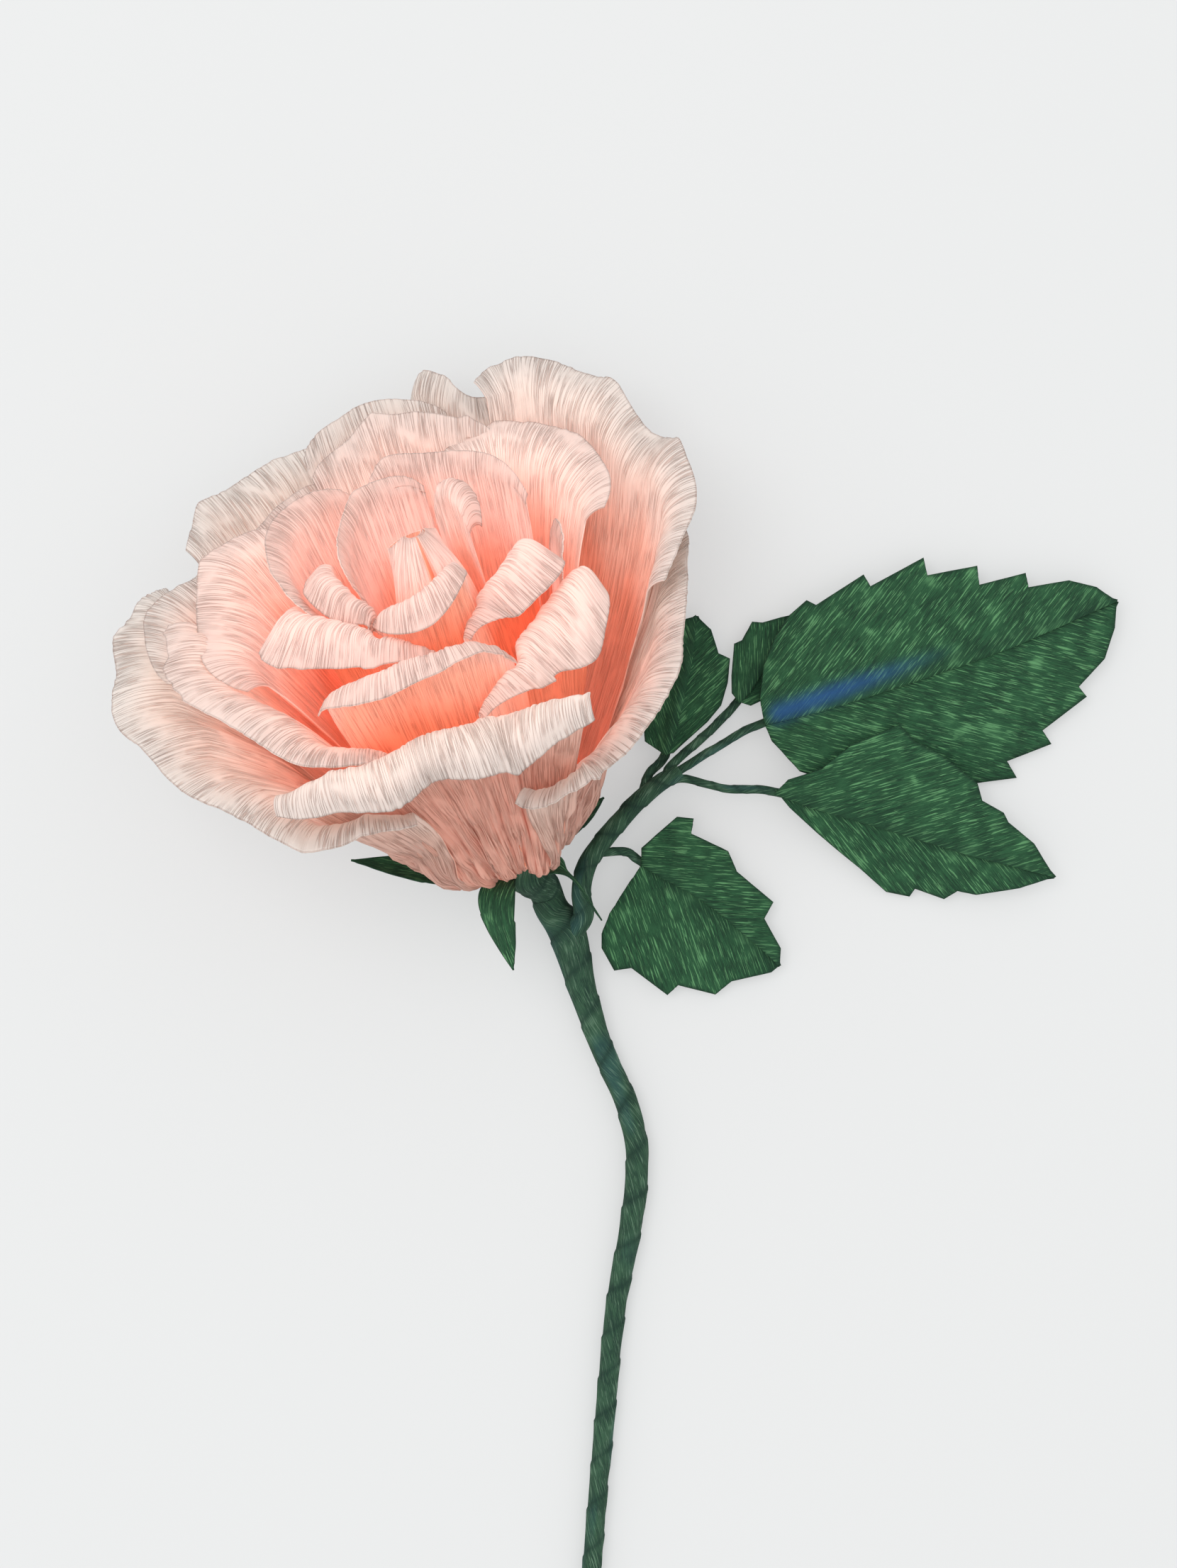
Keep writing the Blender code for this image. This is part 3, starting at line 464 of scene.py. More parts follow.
bud_length = np.linalg.norm(np.diff(bud_sheet(20, 120)[15], axis=0), axis=1).sum()
print("the bud's strip is about", round(float(bud_length)), "mm long")

# %% [markdown]
# The maker's paint is written down as three numbers at each point: how deep it lies below the rim, which
# side of the paper it is on, and how pale the petal is. The depth also carries painted shade: it is pushed
# deeper where shade falls. On the bud, a dark line of painted shadow is added where the strip's outer edge
# lies on the turn below it.

# %% The rolled bud
PAINT_DEPTH = 36.0
BUD_ROWS, BUD_COLUMNS = 60, 420
BUD_PAPER, BUD_CREASES = 0.22, 0.25
SLIT_WIDTH, SLIT_DARKNESS = 0.006, 0.6


# deeper pushes the depth further as painted shade, which turns the colour towards deep coral.
def paint_for(run, along_end, outside, pale, deeper=0.0):
    depth = np.clip((along_end - run) / PAINT_DEPTH + deeper, 0, 1)
    return np.stack([depth, np.full_like(run, outside), np.full_like(run, pale)], axis=2)


sheet = finer_sheet(bud_sheet(30, 120), BUD_ROWS, BUD_COLUMNS)
across = np.r_[0, np.cumsum(np.linalg.norm(np.diff(sheet[40], axis=0), axis=1))] + 0 * sheet[..., 0]
along = run_along(sheet)
sheet += normals(sheet) * (BUD_CREASES * crepe(across, along, 50))[..., None]
# A painted shadow line where the strip's outer edge lies on the turn below it.
under_the_end = 1 - 1 / BUD_TURNS + 0.008
around = np.linspace(0, 1, BUD_COLUMNS)[None, :]
slit = SLIT_DARKNESS * np.exp(-((around - under_the_end) / SLIT_WIDTH) ** 2)
rolled_bud = paper("rolled_bud_strip", on_head(sheet), BUD_PAPER, np.stack([across, along], axis=2),
                   paint_for(along, along[-1:] + 22, 0.0, 0.0),
                   paint_for(along, along[-1:] + 5, 0.0, 0.0, slit))
settle(rolled_bud, "rolled_bud", "inner_petal_paper")
print("rolled bud:", len(rolled_bud.data.polygons), "faces")

# %% [markdown]
# Now the petals, one after another. Each is drawn coarsely, pressed clear of the ones before it, read
# finely along smooth curves, and only then creased. The creases fade towards the foot, where the paper is
# pulled tight. Three petals show from outside, below the skirt, and are the exception: the maker held the
# flower there, so they are crumpled, most of all at the foot.

# %% The petals
PAPER = 0.3
CREASE_STEP = 0.34
BODY_ROWS, ROLL_ROWS, COLUMNS, FINE_ROWS = 16, 10, 40, 46
CUP_OUTSIDE = (17, 22, 24)
LAST_HEART_PETAL = 11
tree_points = [tuple(p) for p in bud_sheet(20, 60).reshape(-1, 3)]
tree_quads = [tuple(int(v) for v in q) for q in grid_quads(20, 60)]
petals = []
for number, spec in enumerate(PETALS, 1):
    tree = BVHTree.FromPolygons(tree_points, tree_quads)
    sheet, pushed = press_outward(petal_sheet(spec, number, COLUMNS, BODY_ROWS, ROLL_ROWS), tree, ROLL_ROWS)
    first = len(tree_points)
    tree_points += [tuple(p) for p in sheet.reshape(-1, 3)]
    tree_quads += [tuple(int(v) + first for v in q) for q in grid_quads(*sheet.shape[:2])]

    rim_width = np.linalg.norm(np.diff(sheet[BODY_ROWS + 3], axis=0), axis=1).sum()
    wide = int(np.clip(rim_width / CREASE_STEP, 60, 260))
    sheet = finer_sheet(sheet, FINE_ROWS, wide)
    across = np.linspace(0, rim_width, wide)[None, :] + 0 * sheet[..., 0]
    along = run_along(sheet)
    loose = ease(along / along[-1:] * 1.6 - 0.3)
    if number in CUP_OUTSIDE:
        crumpled = 0.9 * hills(across / 2.0, along / 6, number + 5) * (1 - loose)
        creased = (2.4 - 1.1 * loose) * crepe(across, along, number) + crumpled
    else:
        creased = crepe(across, along, number) * (0.35 + 0.75 * loose)
    sheet += normals(sheet) * creased[..., None]
    pale = ease((number - 6) / 16)
    # The outside of the heart's petals is a deeper coral than the inside, as painted shade and painted
    # bounced light.
    made = paper(f"petal_{number:02d}_sheet", on_head(sheet), PAPER, np.stack([across, along], axis=2),
                 paint_for(along, along[-1:], ease(pale * 3 - 1.6), pale, 0.35 * (1 - pale)),
                 paint_for(along, along[-1:], 0.0, pale))
    heart = number <= LAST_HEART_PETAL
    settle(made, f"petal_{number:02d}", "inner_petal_paper" if heart else "outer_petal_paper")
    petals.append(made)
    print(made.name, len(made.data.polygons), "faces, pushed", round(pushed, 1), "mm")

# %% [markdown]
# ## The leaf
# A leaf of five leaflets grows from the stem on a wrapped stalk. Every leaflet is cut in two halves,
# with the paper's creases slanting away from the midrib on both sides as veins do, and the halves are
# glued over a thin wrapped wire. The margin is cut in teeth with scissors, so it is made of straight
# snips. Each corner is written as two lengths: along the midrib, and out from it.

# %% The leaflets' outlines
def leaflet(name, base, heading, length, base_height, tip_height, droop, bow, left, right, joins, bend,
            beside=0.0):
    """One leaflet's numbers by name; joins, bend and beside say how its wire leaves the stalk."""
    return dict(locals())


LEAFLETS = [
    leaflet("leaflet_1", (36.4, 12.7), 19, 78, 5.6, 4.2, (1.6, 3.6), -1.0,
            [(1, 5.4), (4, 11.3), (8, 16), (12, 19.3), (17, 21.3), (18.5, 19.7), (30, 22.5), (30.5, 19.7),
             (43, 21.8), (42.5, 18), (53, 16.5), (52, 12.6), (62, 11.8), (61.5, 8.8), (70, 7.4), (75, 4.2)],
            [(0.5, 4.1), (4, 12), (10, 16.7), (21, 21.3), (31, 24.3), (38, 26.4), (47, 28.2), (46, 24.2),
             (56, 23.8), (55, 20.5), (66, 16.8), (65, 14.3), (72, 10.5), (76, 5.1)], 1.0, 0.4),
    leaflet("leaflet_2", (38.6, -1.6), -17, 61, 6.2, 5.0, (0.4, 4.2), 0.4,
            [(2.0, 3.2), (8, 7.4), (12.5, 14), (21, 21), (25, 18.6), (31, 17.5), (40, 14), (42, 10.9),
             (47, 9.8), (48.5, 8.2), (55, 5.5)],
            [(4, 2.2), (11, 5.5), (22, 10), (29, 13.1), (34, 12.6), (34.5, 10.7), (41, 11), (43, 8.6),
             (47, 8.2), (55, 4.2)], 1.0, -0.8, -2.0),
    leaflet("leaflet_3", (11.2, -16.4), -37, 36, 5.4, 2.6, (1.6, 1.6), 2.4,
            [(-2, 2.4), (0, 12), (3, 13.8), (4.5, 11), (13, 12.7), (17, 10.4), (27, 9.9), (27.5, 6),
             (34, 3.1)],
            [(0.5, 5.4), (1.0, 12.6), (2.2, 17), (4, 19.4), (9, 21.6), (11.5, 19), (21, 19), (21.5, 16),
             (29, 12.9), (30, 8.6), (35.5, 2.1)], 0.38, 1.5),
    leaflet("leaflet_4", (15.9, 5.9), 77, 30, 3.4, 2.6, (1.2, 1.2), 0.0,
            [(2, 4.7), (5, 5.6), (11, 7.7), (13, 6.8), (20, 7.2), (22, 5.6), (28, 3.9)],
            [(1, 1.6), (3, 3), (9, 7.2), (13, 9.2), (18, 9.5), (23, 8.8), (23.5, 6.2), (28, 3.6)], 0.78, 0.8),
    leaflet("leaflet_5", (31.1, 17.1), 57, 22, 2.8, 1.7, (0.5, 0.6), 0.0,
            [(1, 2), (4, 4), (10, 7.2), (11.5, 6.2), (16, 6.5), (17, 4.6), (20, 2)],
            [(1, 2.8), (5, 5.3), (11, 6.8), (12, 5.8), (17, 4.9), (20, 2)], 1.0, -0.4, 2.0),
]
print(len(LEAFLETS), "leaflets,", [spec["length"] for spec in LEAFLETS], "mm long")

# %% [markdown]
# A half's grid runs from the midrib out to the margin and keeps a column at each corner of the teeth, so
# the snips stay sharp. At the midrib the halves lap over each other, the left one on top.

# %% A half leaflet's grid
LAP = 1.2


def leaflet_grid(spec, side, cells=22, between=5):
    """Along and out from the midrib at each point, the share of the way out, and the margin's reach."""
    margin = np.array((spec["left"] if side > 0 else spec["right"]) + [(spec["length"], 0.0)], float)
    last = len(margin) - 1
    places = np.linspace(0, last, last * between + 1)
    along_out = np.interp(places, np.arange(last + 1), margin[:, 0])[None, :]
    across_out = np.interp(places, np.arange(last + 1), margin[:, 1])[None, :]
    share = (places / last)[None, :]
    v = np.linspace(0, 1, cells + 1)[:, None]
    along_mid = spec["length"] * (0.25 * share + 0.75 * share ** 1.3)
    lap = LAP * np.minimum(1.0, 4 * (1 - share)) * np.minimum(1.0, 0.4 + 3 * share)
    along = along_mid + (along_out - along_mid) * v
    across = side * (-lap + (across_out + lap) * v)
    across = np.where(share >= 1, side * (-LAP * 0.05 + 0.25 * v), across)
    across = across + spec["bow"] * np.sin(math.pi * np.clip(along / spec["length"], 0, 1)) * (1 - v)
    along = along + np.where(share >= 1, 0.004 * spec["length"] * v, 0.0)
    return along, across, v, across_out


print("a half leaflet's grid:", leaflet_grid(LEAFLETS[0], 1)[0].shape)

# %% [markdown]
# The half droops towards its margin, waves a little, and carries a ridge where the wire runs below it.
# The edge and the midrib are painted dark, and a stroke of blue chalk lies beside the midrib of the
# largest leaflet, fading towards the tip.

# %% The leaflets' halves
LEAF_PAPER, LEAF_LIFT, LEAF_CREASES = 0.3, 0.65, 0.55
GRAIN_SLANT = 33.0
WIRE_UNDER_LEAFLET, WIRE_RIDGE, RIDGE_WIDTH = 0.62, 0.55, 1.3
CUT_EDGE, MIDRIB_WIDTH, CHALK_LENGTH = 0.5, 1.5, 46


def leaflet_height(spec, side, along, across, v, widest, seed):
    height = spec["base_height"] + (spec["tip_height"] - spec["base_height"]) * along / spec["length"]
    height = height - spec["droop"][0 if side > 0 else 1] * (np.abs(across) / widest) ** 1.6
    height += LEAF_LIFT if side > 0 else 0.0
    height += 0.45 * hills(along / 13, across / 11, seed) * v
    height += 0.35 * hills(along / 6, 3.0, seed + 1) * v ** 3
    wired = ease((WIRE_UNDER_LEAFLET * spec["length"] - along) / 6 + 1)
    return height + WIRE_RIDGE * wired * np.exp(-((across - spec["bow"] * 0.9) / RIDGE_WIDTH) ** 2)


def leaflet_half(spec, side, seed):
    """The half's sheet, its map along the slanting creases, and what is painted on it."""
    along, across, v, across_out = leaflet_grid(spec, side)
    height = leaflet_height(spec, side, along, across, v, across_out.max(), seed)
    heading, slant = math.radians(spec["heading"]), math.radians(GRAIN_SLANT * side)
    grain = np.stack([-along * math.sin(slant) + across * math.cos(slant),
                      along * math.cos(slant) + across * math.sin(slant)], axis=2)
    height += LEAF_CREASES * crepe(grain[..., 0], grain[..., 1], seed + 2) * np.minimum(1, 3 * v + 0.3)
    sheet = np.stack([spec["base"][0] + along * math.cos(heading) - across * math.sin(heading),
                      spec["base"][1] + along * math.sin(heading) + across * math.cos(heading),
                      height], axis=2)
    inside = np.clip((across_out * (1 - v) - 0.1) / CUT_EDGE, 0, 1)
    midrib = np.exp(-(across / MIDRIB_WIDTH) ** 2)
    chalk = 0 * across
    if spec["name"] == "leaflet_1":
        chalk = np.exp(-((across - 0.9 - 0.02 * along) / (2.0 - 0.016 * along)) ** 2)
        chalk = chalk * ease(along / 4) * ease((CHALK_LENGTH - along) / 34)
    return sheet, grain, np.stack([1 - inside, midrib + 0 * inside, chalk + 0 * inside], axis=2)


leaflets = []
for number, spec in enumerate(LEAFLETS, 1):
    for side, word in ((1, "left"), (-1, "right")):
        sheet, grain, paint = leaflet_half(spec, side, 60 + 4 * number + side)
        made = paper(f"{spec['name']}_{word}_half", on_bench(sheet), LEAF_PAPER, grain, paint, paint)
        settle(made, f"{spec['name']}_{word}", "leaf_paper")
        leaflets.append(made)
print(len(leaflets), "half leaflets,", sum(len(o.data.polygons) for o in leaflets), "faces")

# %% [markdown]
# ## The stem
# The stem, the leaf's stalk and the leaflets' wires are all wrapped with a strip of green crepe paper,
# stretched as it is wound. All of them follow routes of a few points, each with its place on the bench
# and its height; the stem's points have its radius too. The stem starts in the cone under the petals.

# %% Routes
CONE_TOP, CONE_HEIGHT, CONE_RADIUS, CONE_NECK = 0.8, 3.5, 5.2, 4.4
STEM = [
    (-9.4, -21.6, 6.2, 3.6), (-7.6, -26.0, 4.7, 3.5), (-4.4, -31.3, 4.1, 3.9), (-1.2, -43.2, 3.4, 2.9),
    (2.8, -55.2, 2.7, 2.4), (8.0, -67.1, 2.6, 2.4), (10.2, -78.0, 2.6, 2.4), (9.0, -92.0, 2.5, 2.4),
    (6.0, -108.0, 2.3, 2.2), (4.2, -124.0, 2.2, 2.1), (2.6, -142.0, 2.1, 2.0), (0.8, -163.0, 2.1, 2.0),
    (-0.6, -184.0, 2.1, 2.0), (-1.6, -207.0, 2.1, 2.0), (-2.0, -226.0, 2.1, 2.0),
]
LEAF_STALK = [
    (-1.0, -27.2, 7.6), (-1.6, -22.0, 7.8), (0.0, -16.2, 7.4), (3.4, -11.4, 6.6), (8.6, -5.4, 5.6),
    (13.4, -1.0, 4.9), (19.0, 2.8, 4.6),
]


def smooth_route(points, count):
    """The route at count places, evenly spaced along it."""
    points = np.array(points, float)
    fine = finer(points, 16 * (len(points) - 1) + 1)
    run = np.concatenate([[0], np.cumsum(np.linalg.norm(np.diff(fine[:, :3], axis=0), axis=1))])
    at = run[-1] * np.linspace(0, 1, count)
    return np.stack([np.interp(at, run, fine[:, c]) for c in range(fine.shape[1])], axis=1)


cone = [(*(on_head(np.array([0, 0, height])) - bench_shift), radius)
        for height, radius in ((CONE_TOP, CONE_RADIUS), (CONE_TOP - CONE_HEIGHT, CONE_NECK))]
stem_route = smooth_route(cone + STEM, 360)
stem_steps = np.linalg.norm(np.diff(stem_route[:, :3], axis=0), axis=1)
print("the stem is", round(float(stem_steps.sum())), "mm long along its bends")

# %% [markdown]
# Each turn of the strip lies half over the one before, so a thin step climbs round the stem like a screw
# thread. Here the tube's radius carries that step, and the paper's creases lean with it. The painted
# numbers say where a step throws its line of shade, and where the dye has a patch of another green.

# %% A wound tube
STEM_PITCH, STEM_STEP = 9.5, 0.32
SLANT_OF_CREASES, TUBE_CREASES = 0.35, 0.5


def wrapped(name, route, radii, pitch, step, sides, seed):
    """A wound tube along the route, closed at both ends."""
    tangent = np.gradient(route, axis=0)
    tangent /= np.linalg.norm(tangent, axis=1, keepdims=True)
    run = np.concatenate([[0], np.cumsum(np.linalg.norm(np.diff(route, axis=0), axis=1))])[:, None]
    turns = (2 * math.pi * np.arange(sides) / sides)[None, :]
    thread = (run + 1.5 * np.sin(run / 17 + seed)) / pitch - turns / (2 * math.pi)
    climb = thread - np.floor(thread)
    across = turns * radii[:, None] * 0.9 + SLANT_OF_CREASES * run
    along = run - SLANT_OF_CREASES * turns * radii[:, None]
    seam = np.minimum(1, np.minimum(turns, 2 * math.pi - turns) / 0.6)
    lip = np.exp(-climb * 2.2) * ease(climb / 0.05) - 0.4
    radius = radii[:, None] + step * lip + TUBE_CREASES * crepe(across, along * 0.8, seed) * seam
    shade = np.exp(-np.minimum(climb, 1 - climb) * 9)
    patch = ease(hills(run / 14, turns / 1.5, seed + 5) * 1.6 - 0.2)
    normal = np.cross(tangent[0], (0.0, 0.0, 1.0))
    rings = []
    for k, place in enumerate(route):
        normal = normal - tangent[k] * (normal @ tangent[k])
        normal /= np.linalg.norm(normal)
        second = np.cross(tangent[k], normal)
        rings.append(place + radius[k][:, None] * (np.cos(turns).T * normal + np.sin(turns).T * second))
    rings = np.array(rings)
    index = np.arange(rings.shape[0] * sides).reshape(-1, sides)
    after = np.roll(index, -1, axis=1)
    quads = [np.stack([index[:-1], after[:-1], after[1:], index[1:]], axis=2).reshape(-1, 4)]
    half = sides // 2
    for ring, turned in ((index[0], False), (index[-1], True)):
        low, high = ring[:half], ring[::-1][:half]
        strips = np.stack([low[:-1], high[:-1], high[1:], low[1:]], axis=1)
        quads.append(strips[:, ::-1] if turned else strips)
    grain = np.stack([across, along], axis=2).reshape(-1, 2)
    paint = np.stack([shade, patch, 0 * shade], axis=2).reshape(-1, 3)
    return make_mesh(name, rings.reshape(-1, 3), np.concatenate(quads), grain, paint)


print("the stem's strip makes about", round(float(stem_steps.sum() / STEM_PITCH)), "turns")

# %% [markdown]
# The stem's wrap follows the whole route, from the cone under the petals to the cut end.

# %% The wrapped stem
stem_wrap = wrapped("stem_wrap_strip", on_bench(stem_route[:, :3]), stem_route[:, 3], STEM_PITCH,
                    STEM_STEP, 40, 81)
settle(stem_wrap, "stem_wrap", "stem_paper")
print("stem wrap:", len(stem_wrap.data.polygons), "faces")

# %% [markdown]
# The stalk's first bit lies under the stem's wrap, where both wires were bound together, so its route
# starts inside the stem. The leaflets' wires come out of the stalk in the same way. Each runs to its
# leaflet's foot and on below the midrib, where the halves are glued over it.

# %% The leaf's stalk and wires
UNDER_THE_WRAP = (-3.8, -31.2, 5.2)
LEAFLET_WIRE_RADIUS, WIRE_PAPER = 0.8, 0.1
LEAFLET_SOLID, GLUE, CLEAR = 0.35, 0.3, 0.1
WIRE_BELOW_LEAFLET = LEAFLET_SOLID / 2 + GLUE + LEAFLET_WIRE_RADIUS + CLEAR
INSIDE_STALK, OFF_CENTRE = 3.5, 1.2
STALK_PLACES, WIRE_PLACES = 110, 90

stalk_route = smooth_route(LEAF_STALK, 12)
stalk_fine = smooth_route([UNDER_THE_WRAP] + LEAF_STALK, STALK_PLACES)
stalk_radii = np.linspace(2.2, 1.8, STALK_PLACES)
leaf_stalk = wrapped("leaf_stalk_strip", on_bench(stalk_fine), stalk_radii, 8.0, 0.26, 32, 85)
settle(leaf_stalk, "leaf_stalk", "stem_paper")


def leaflet_wire(spec):
    """The wire's route, from inside the stalk to its end below the midrib."""
    heading = math.radians(spec["heading"])
    ahead = np.array([math.cos(heading), math.sin(heading), 0.0])
    base = np.array([*spec["base"], spec["base_height"] - WIRE_BELOW_LEAFLET])
    slope = (spec["tip_height"] - spec["base_height"]) / spec["length"]
    reach = WIRE_UNDER_LEAFLET * spec["length"]
    end = base + reach * ahead + np.array([0, 0, slope * reach])
    side = np.array([-ahead[1], ahead[0], 0.0])
    middle = (base + end) / 2 + side * spec["bow"] * 0.9
    k = spec["joins"] * (len(stalk_route) - 1)
    whole = min(int(k), len(stalk_route) - 2)
    leave = stalk_route[whole] + (stalk_route[whole + 1] - stalk_route[whole]) * (k - whole)
    along = stalk_route[whole + 1] - stalk_route[whole]
    along = along / np.linalg.norm(along)
    if spec["joins"] >= 1:
        start = leave + np.array([-along[1], along[0], 0.0]) * spec["beside"]
        inside = leave - INSIDE_STALK * along + 0.3 * (start - leave)
    else:
        away = (base - leave) - along * ((base - leave) @ along)
        start = leave + away / np.linalg.norm(away) * OFF_CENTRE
        inside = leave
    bend = (start + base) / 2 + side * spec["bend"]
    return smooth_route([inside, start, bend, base, middle, end], WIRE_PLACES)


for number, spec in enumerate(LEAFLETS, 1):
    radii = np.full(WIRE_PLACES, LEAFLET_WIRE_RADIUS + WIRE_PAPER)
    made = wrapped(f"leaf_wire_{number}_strip", on_bench(leaflet_wire(spec)), radii, 5.0, 0.14, 16,
                   90 + number)
    settle(made, f"leaf_wire_{number}", "stem_paper")
print("leaf stalk and", len(LEAFLETS), "leaflet wires")

# %% [markdown]
# ## The sepals
# Under the petals sit five narrow green blades, cut to a point. Three show: one stands out to the side,
# one bends back along the stem and swings aside, and one turns its edge. Each is given by its angle round
# the flower, its length, how far it bends back, how far it twists, and how far its tip swings sideways.

# %% The sepals
SEPALS = [
    (164, 1.20, -32, 0, 0),
    (228, 0.76, 60, 0, 4.5),
    (326, 0.72, 62, -46, 0),
    (40, 0.82, -7, 0, 0),
    (100, 0.54, -9, 0, 0),
]
SEPAL_LENGTH, SEPAL_WIDTH, SEPAL_FOOT_RADIUS, SEPAL_FOOT_HEIGHT = 25.0, 9.0, 5.8, -0.2
SEPAL_CUP, SEPAL_CREASES = 0.08, 0.5


def sepal_sheet(angle, length_factor, bend_back, twist, sway, rows=44, columns=22):
    t = np.linspace(0, 1, rows + 1)
    drop = np.radians(12 + bend_back * ease(t / 0.6))
    step = SEPAL_LENGTH * length_factor / rows * np.stack([np.cos(drop), -np.sin(drop)], axis=1)
    step[0] = 0
    place = np.array([SEPAL_FOOT_RADIUS, SEPAL_FOOT_HEIGHT]) + np.cumsum(step, axis=0)
    narrow = 0.42 + 0.58 * np.sin(math.pi * np.minimum(1, t * 1.25 + 0.08))
    taper = np.maximum(0.04, 1 - np.maximum(0, (t - 0.42) / 0.58) ** 1.6)
    width = SEPAL_WIDTH * np.where(t < 0.5, narrow, taper)[:, None]
    v = np.linspace(-1, 1, columns + 1)[None, :]
    side = v * width / 2
    turn, twisted = math.radians(angle), np.radians(twist * ease(t / 0.35))[:, None]
    out, level = np.array([math.cos(turn), math.sin(turn)]), np.array([-math.sin(turn), math.cos(turn)])
    cupped = SEPAL_CUP * width * v * v
    radius = place[:, :1] + side * np.sin(twisted) * np.sin(drop)[:, None] - cupped
    height = place[:, 1:] + side * np.sin(twisted) * np.cos(drop)[:, None] + cupped
    across = side * np.cos(twisted) + sway * t[:, None] ** 2
    return np.stack([radius * out[0] + across * level[0], radius * out[1] + across * level[1], height],
                    axis=2), side, v


for number, spec in enumerate(SEPALS, 1):
    sheet, side, v = sepal_sheet(*spec)
    along = run_along(sheet)
    across = side + 20
    sheet = sheet + normals(sheet) * (SEPAL_CREASES * crepe(across, along, 100 + number))[..., None]
    paint = np.stack([ease((np.abs(v) - 0.86) / 0.12) + 0 * along, 0 * along, 0 * along], axis=2)
    made = paper(f"sepal_{number}_blade", on_head(sheet), LEAF_PAPER, np.stack([across, along], axis=2),
                 paint, paint)
    settle(made, f"sepal_{number}", "leaf_paper")
print(len(SEPALS), "sepals")

# %% [markdown]
# ## The finishes
# A finish is a small graph of nodes. Most of its lines would do the same two things, make a node and fill
# its inputs, so one helper does both: an input takes a number, a colour or another node's output.

# %% Helpers for node graphs
def fill(socket, value):
    if isinstance(value, bpy.types.NodeSocket):
        socket.id_data.links.new(value, socket)
    elif isinstance(value, tuple):
        socket.default_value = (*value, 1.0)
    else:
        socket.default_value = value


def add(nodes, kind, inputs=None, **settings):
    """A new node with its settings made and its inputs filled."""
    node = nodes.new(kind)
    for key, value in settings.items():
        setattr(node, key, value)
    for key, value in (inputs or {}).items():
        fill(node.inputs[key], value)
    return node


def compute(nodes, operation, *terms):
    return add(nodes, "ShaderNodeMath", dict(enumerate(terms)), operation=operation).outputs[0]


def mix(nodes, factor, a, b, blend="MIX"):
    node = add(nodes, "ShaderNodeMix", {"Factor": factor, "A": a, "B": b}, data_type="RGBA", blend_type=blend)
    return node.outputs["Result"]


def ramp(nodes, value, stops):
    node = nodes.new("ShaderNodeValToRGB")
    node.color_ramp.interpolation = "EASE"
    while len(node.color_ramp.elements) < len(stops):
        node.color_ramp.elements.new(0.5)
    for element, (place, colour) in zip(node.color_ramp.elements, stops):
        element.position = place
        element.color = (*colour, 1.0)
    fill(node.inputs[0], value)
    return node.outputs[0]


def new_material(name):
    made = bpy.data.materials.new(name)
    made.use_nodes = True
    return made, made.node_tree.nodes, made.node_tree.nodes["Principled BSDF"]


def paint_numbers(nodes):
    painted = add(nodes, "ShaderNodeAttribute", attribute_name="paint")
    return list(add(nodes, "ShaderNodeSeparateColor", {0: painted.outputs["Color"]}).outputs)


print("materials so far, all from the frame:", len(bpy.data.materials))

# %% [markdown]
# One effect is shared by every paper here: the fine creases. It is built once as a node group that reads
# the map in millimetres and stretches a noise along it. It puts out a height for the bump and a mask of
# thin dark lines, painted shade in the bottoms of the creases, for the colour, and it lets the lines fade
# where the paper was pulled smooth. How close, how long, how wide and how detailed the creases are is set
# per material.

# %% Creases, a group that every paper uses
SMOOTH_PATCHES = 0.16


def crease_group():
    group = bpy.data.node_groups.new("Crepe creases", "ShaderNodeTree")
    for name, value in (("Across", 1.0), ("Along", 0.1), ("Line width", 0.1), ("Detail", 2.0)):
        socket = group.interface.new_socket(name, in_out="INPUT", socket_type="NodeSocketFloat")
        socket.default_value = value
    for name in ("Height", "Lines"):
        group.interface.new_socket(name, in_out="OUTPUT", socket_type="NodeSocketFloat")
    nodes = group.nodes
    given = nodes.new("NodeGroupInput").outputs
    uv = add(nodes, "ShaderNodeUVMap", uv_map="grain").outputs[0]
    scale = add(nodes, "ShaderNodeCombineXYZ", {0: given["Across"], 1: given["Along"]})
    stretch = add(nodes, "ShaderNodeVectorMath", {0: uv, 1: scale.outputs[0]}, operation="MULTIPLY")
    noise = add(nodes, "ShaderNodeTexNoise",
                {"Vector": stretch.outputs[0], "Scale": 1.0, "Detail": given["Detail"], "Roughness": 0.5,
                 "Distortion": 0.25}).outputs["Fac"]
    off = compute(nodes, "ABSOLUTE", compute(nodes, "SUBTRACT", noise, 0.5))
    line = add(nodes, "ShaderNodeMapRange",
               {"Value": off, "From Max": given["Line width"], "To Min": 1.0, "To Max": 0.0},
               interpolation_type="SMOOTHSTEP")
    patchy = add(nodes, "ShaderNodeTexNoise", {"Vector": uv, "Scale": SMOOTH_PATCHES})
    here = add(nodes, "ShaderNodeMapRange",
               {"Value": patchy.outputs["Fac"], "From Min": 0.28, "From Max": 0.60},
               interpolation_type="SMOOTHSTEP")
    lines = compute(nodes, "MULTIPLY", line.outputs["Result"], here.outputs["Result"])
    add(nodes, "NodeGroupOutput", {"Height": compute(nodes, "SUBTRACT", noise, lines), "Lines": lines})
    return group


CREASES = crease_group()


def creases(nodes, across, along, width, detail):
    return add(nodes, "ShaderNodeGroup",
               {"Across": across, "Along": along, "Line width": width, "Detail": detail},
               node_tree=CREASES).outputs


print("crease group:", len(CREASES.nodes), "nodes")
